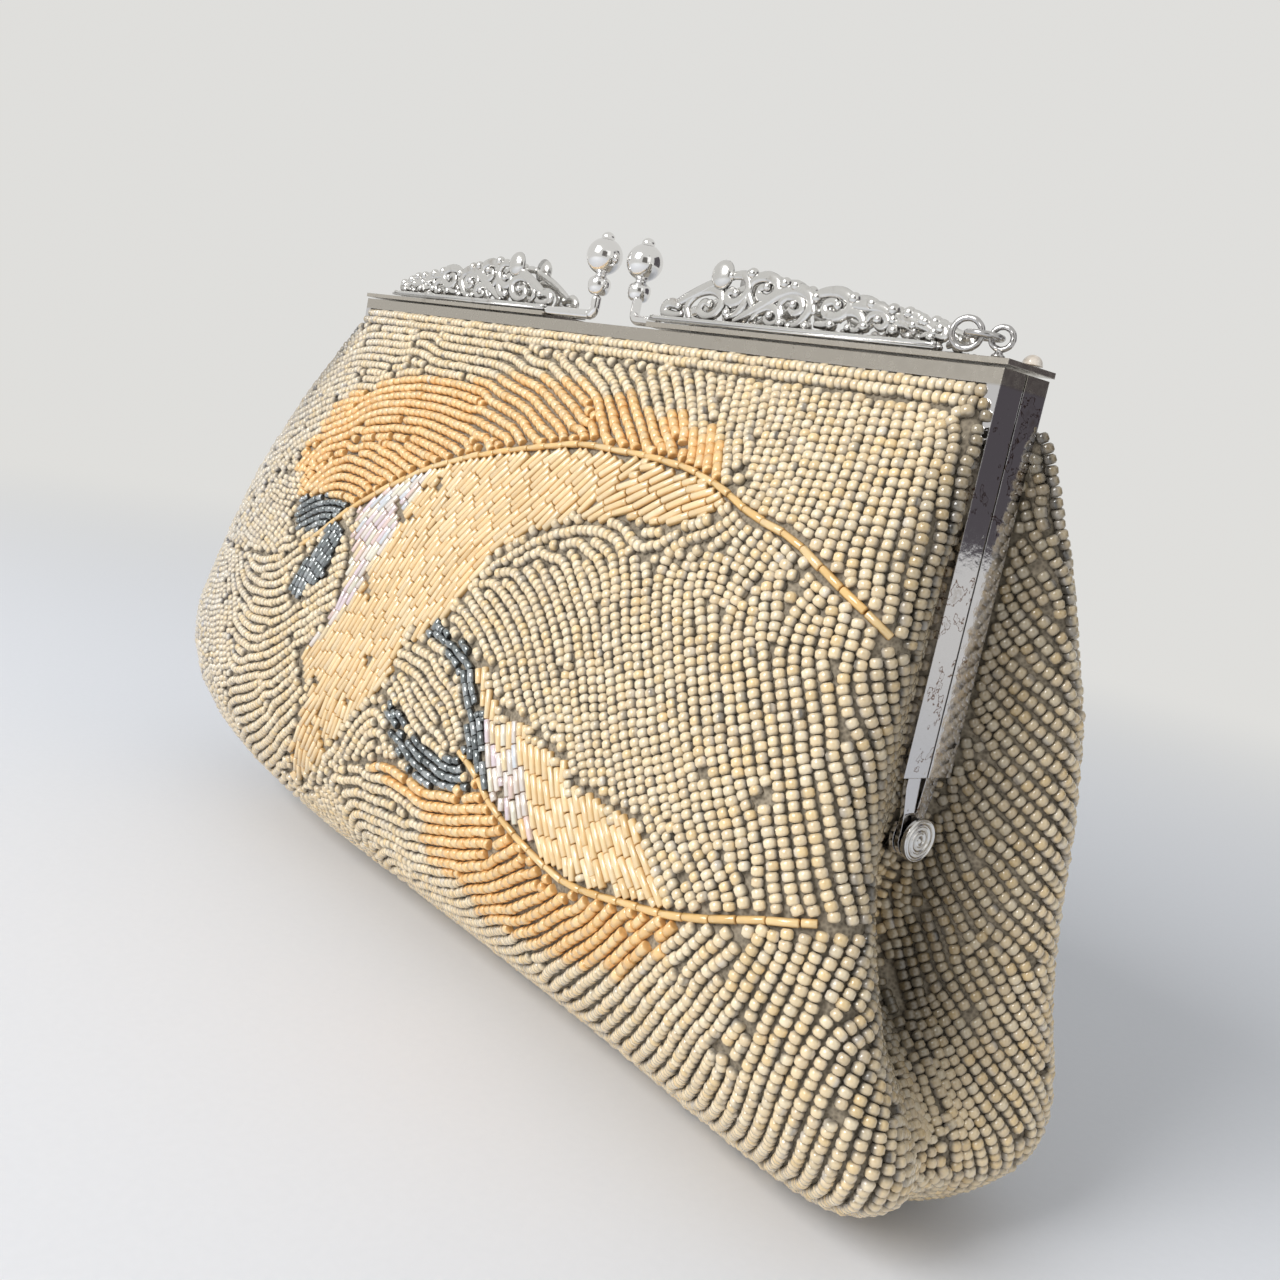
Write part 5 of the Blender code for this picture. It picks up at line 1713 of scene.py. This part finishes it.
ringShape = {
    "eye": (88.7, -2.6, 123.95), "bearing": 203, "eyeRadius": 1.45, "eyeWire": 0.4, "plate": 121.5,
    "linkRadius": 2.375, "linkWire": 0.42, "ringRadius": 2.0, "ringWire": 0.45, "reach": 4.75,
    "foot": [(0, 0), (0.95, 0), (0.9, 0.22), (0.62, 0.42), (0.45, 0.75), (0.42, 1.0), (0, 1.0)],
    "steps": 72, "sides": 14, "uneven": (0.03, 0.9),
    "dome": (90.7, 2.2, 121.5), "domeRadius": 1.4, "domeEdge": 0.12, "domeShares": (0.96, 0.92),
}
pearl = {
    "cloudScale": 900.0, "cloudDetail": 4.0, "dark": (0.56, 0.47, 0.38, 1), "light": (0.78, 0.71, 0.62, 1),
    "roughness": (0.28, 0.42), "bump": 0.12, "bumpDepth": 0.0002,
}


def wireRing(center, radius, wire, first, second):
    steps = ringShape["steps"]
    share, pace = ringShape["uneven"]
    path = [np.array(center) + first * a + second * b for a, b in circle(radius, steps)]
    wires = wire * (1 + share * np.sin(np.arange(steps) * pace))
    return sweep(path, wires, ringShape["sides"], closed=True)


def ringFittings():
    c = ringShape
    bearing = math.radians(c["bearing"])
    out = np.array([math.cos(bearing), math.sin(bearing), 0])
    side = np.array([-out[1], out[0], 0])
    up = np.array([0, 0, 1])
    eye = np.array(c["eye"])
    foot = turned(c["foot"], (eye[0], eye[1], c["plate"]), 24)
    for title, center, second, body, node, more in (
        ("eye", eye, up, "front_frame", "ring_eye", [foot]),
        ("link", eye + out * c["reach"] / 2, side, "link", "handle_link", []),
        ("ring", eye + out * c["reach"], up, "ring", "handle_ring", []),
    ):
        wire = wireRing(center, c[title + "Radius"], c[title + "Wire"], out, second)
        addMetal("wire_" + title, [wire] + more, wireSteel, body, node, "rivet_steel")
    r, edge = c["domeRadius"], c["domeEdge"]
    wide, high = c["domeShares"]
    profile = [(0, 0), (r, 0), (r, edge)]
    turns = np.linspace(0.05, math.pi / 2, 10)[:-1].tolist()
    profile += [(r * wide * math.cos(t), edge + r * high * math.sin(t)) for t in turns]
    profile.append((0, edge + r * high))
    addMetal("pearly_dome", [turned(profile, c["dome"], 40)], pearlRivet, "front_frame", "plate_rivet_dome",
             "pearl_rivet")


def makePearlRivet():
    coats = {"Coat_Weight": 0.6, "Coat_Roughness": 0.12, "Sheen_Weight": 0.1}
    material, tree, shader = newMaterial("pearlRivet", **coats)
    cloud = noise(tree, objectPlace(tree), pearl["cloudScale"], pearl["cloudDetail"])
    color = mixColor(tree, stretch(tree, cloud, 0.35, 0.65), pearl["dark"], pearl["light"])
    tree.links.new(color, shader.inputs["Base Color"])
    tree.links.new(stretch(tree, cloud, 0.3, 0.7, *pearl["roughness"]), shader.inputs["Roughness"])
    addBump(tree, shader, cloud, pearl["bump"], pearl["bumpDepth"])
    return material


pearlRivet = makePearlRivet()
ringFittings()

# Spiral rosette over each hinge rivet

rosetteShape = {
    "radius": 3.2, "backShare": 0.97, "inner": 92.5, "outer": 93.2, "height": 56.3,
    "radial": 46, "around": 120, "coils": 3.25, "ridge": 0.17, "ridgePower": 0.7,
    "ridgeFrom": 0.16, "ridgeTo": 0.84, "rim": 0.16, "rimAt": 0.92, "rimWidth": 0.05,
    "boss": 0.30, "bossShare": 0.2, "edge": 0.35, "edgeAt": 0.95,
    "joinWithin": 1e-7,
}


def rosetteHeight(share, turn):
    c = rosetteShape
    coil = math.cos(2 * math.pi * share * c["coils"] - turn)
    ridge = c["ridge"] * max(0, coil) ** c["ridgePower"] * (c["ridgeFrom"] < share < c["ridgeTo"])
    rim = c["rim"] * math.exp(-((share - c["rimAt"]) / c["rimWidth"]) ** 2)
    boss = c["boss"] * max(0, 1 - (share / c["bossShare"]) ** 2)
    edge = c["edge"] * max(0, (share - c["edgeAt"]) / (1 - c["edgeAt"])) ** 2
    return ridge + rim + boss - edge


def rosette(word, side):
    c = rosetteShape
    radial, around = c["radial"], c["around"]
    turns = [2 * math.pi * k / around for k in range(around)]
    points = []
    for i in range(radial + 1):
        share = i / radial
        for turn, (y, z) in zip(turns, circle(c["radius"] * share, around)):
            points.append((side * (c["outer"] + rosetteHeight(share, turn)), y, c["height"] + z))
    rim = circle(c["radius"] * c["backShare"], around)
    points += [(side * c["inner"], y, c["height"] + z) for y, z in rim]
    points.append((side * c["inner"], 0, c["height"]))
    faces = []
    for i in range(radial + 1):
        for k in range(around):
            a, b = i * around + k, i * around + (k + 1) % around
            faces.append((a, b, b + around, a + around))
    back = (radial + 1) * around
    faces += [(back + k, back + (k + 1) % around, back + around) for k in range(around)]
    points = np.array(points)
    points[:around] = points[:around].mean(0)
    addMetal(f"{word}_spiral_rosette", [(points, faces)], castPlate, "pouch", f"{word}_hinge_rosette",
             joinWithin=c["joinWithin"])


rosette("right", 1)
rosette("left", -1)

# Kept metal of the frame

for name, material in (
    ("front_frame_half", framePlate), ("back_frame_half", framePlate),
    ("right_top_plate", satinPlate), ("left_top_plate", satinPlate),
    ("right_hinge_pin", wireSteel), ("left_hinge_pin", wireSteel),
):
    for holder in bpy.data.objects[name].material_slots:
        holder.material = material
print("metal finished")

# Floor, backdrop and lamps

stageLook = {
    "floor": (0.83, 0.84, 0.87), "backdrop": (0.74, 0.735, 0.715), "near": 0.18, "far": 0.75,
    "rings": (0.3, 1.0, 4.0), "sides": 96, "roughness": 0.75, "grainScale": 700.0, "grainDetail": 5.0,
    "grainShade": 0.985, "bump": 0.05, "bumpDepth": 0.0003,
    # watts, size and place in metres
    "lamps": {"keyLamp": (9.7, 0.55, (-0.02, -0.93, 0.64)), "fillLamp": (0.35, 0.5, (0.9, -0.3, 0.45))},
    "aim": (0, 0, 0.07), "world": 0.50, "sky": (0.94, 0.97, 1.0, 1),
}


def addStage(name, points, faces, material, place=(0, 0, 0), facing=0.0):
    mesh = bpy.data.meshes.new(name)
    mesh.from_pydata(points, [], faces)
    piece = addObject(name, mesh, material)
    piece.location = place
    piece.rotation_euler = (0, 0, facing)


def mixShaders(tree, share, first, second):
    return addNode(tree, "ShaderNodeMixShader", [(0, share), (1, first), (2, second)]).outputs[0]


def makePaper():
    # paper that fades into a plain lit backdrop away from the middle
    look = stageLook
    material, tree, shader = newMaterial("paperFloor", Roughness=look["roughness"])
    place = objectPlace(tree)
    away = addNode(tree, "ShaderNodeVectorMath", [(0, place)], operation="LENGTH").outputs["Value"]
    span = [(0, away), (1, look["near"]), (2, look["far"])]
    fade = addNode(tree, "ShaderNodeMapRange", span, interpolation_type="SMOOTHSTEP").outputs[0]
    grain = noise(tree, place, look["grainScale"], look["grainDetail"])
    darker = (*[look["grainShade"] * c for c in look["floor"]], 1)
    paper = mixColor(tree, stretch(tree, grain, 0.3, 0.7), darker, (*look["floor"], 1))
    tree.links.new(paper, shader.inputs["Base Color"])
    addBump(tree, shader, grain, look["bump"], look["bumpDepth"])
    glow = addNode(tree, "ShaderNodeEmission", [("Color", (*look["backdrop"], 1)), ("Strength", 1.0)])
    blended = mixShaders(tree, fade, shader.outputs[0], glow.outputs[0])
    tree.links.new(blended, tree.nodes["Material Output"].inputs[0])
    return material


def makeFloor():
    count, rings = stageLook["sides"], stageLook["rings"]
    points = [(0, 0, 0)] + [(x, y, 0) for ring in rings for x, y in circle(ring, count)]
    faces = []
    for k in range(count):
        n = (k + 1) % count
        faces.append((0, 1 + k, 1 + n))
        for i in range(len(rings) - 1):
            a = 1 + i * count
            faces.append((a + k, a + count + k, a + count + n, a + n))
    addStage("floor", points, faces, makePaper())


def makeLamps():
    for name, (power, size, place) in stageLook["lamps"].items():
        data = bpy.data.lights.new(name, "AREA")
        data.energy = power
        data.size = size
        lamp = bpy.data.objects.new(name, data)
        lamp.location = place
        lamp.rotation_euler = (Vector(place) - Vector(stageLook["aim"])).to_track_quat("Z", "Y").to_euler()
        bpy.context.scene.collection.objects.link(lamp)


def makeWorld():
    # camera and mirror rays see the plain backdrop, the rest gets soft sky light
    world = bpy.data.worlds.new("studio")
    world.use_nodes = True
    tree = world.node_tree
    base = tree.nodes["Background"]
    base.inputs["Color"].default_value = stageLook["sky"]
    base.inputs["Strength"].default_value = stageLook["world"]
    seen = addNode(tree, "ShaderNodeBackground", [("Color", (*stageLook["backdrop"], 1)), ("Strength", 1.0)])
    rays = addNode(tree, "ShaderNodeLightPath")
    either = calculate(tree, "MAXIMUM", rays.outputs["Is Camera Ray"], rays.outputs["Is Glossy Ray"])
    mixed = mixShaders(tree, either, base.outputs[0], seen.outputs[0])
    tree.links.new(mixed, tree.nodes["World Output"].inputs[0])
    bpy.context.scene.world = world


def makeCard(name, middle, width, height, facing, shade):
    # a dark card that only metal and glass reflect
    material = bpy.data.materials.new(name)
    material.use_nodes = True
    tree = material.node_tree
    tree.nodes.clear()
    rays = addNode(tree, "ShaderNodeLightPath")
    clear = addNode(tree, "ShaderNodeBsdfTransparent")
    dark = addNode(tree, "ShaderNodeEmission", [("Color", (*shade, 1)), ("Strength", 1.0)])
    mixed = mixShaders(tree, rays.outputs["Is Glossy Ray"], clear.outputs[0], dark.outputs[0])
    tree.links.new(mixed, tree.nodes.new("ShaderNodeOutputMaterial").inputs[0])
    x, z = width / 2, height / 2
    corners = [(-x, 0, -z), (x, 0, -z), (x, 0, z), (-x, 0, z)]
    addStage(name, corners, [(0, 1, 2, 3)], material, middle, facing)


makeFloor()
makeCard("sideCard", (0.36, 0.37, 0.285), 0.5, 0.42, 2.5, (0.10, 0.09, 0.10))
makeCard("cameraCard", (0.62, -0.50, 0.30), 0.45, 0.5, 0.9, (0.16, 0.15, 0.14))
makeLamps()
makeWorld()
print("stage made")
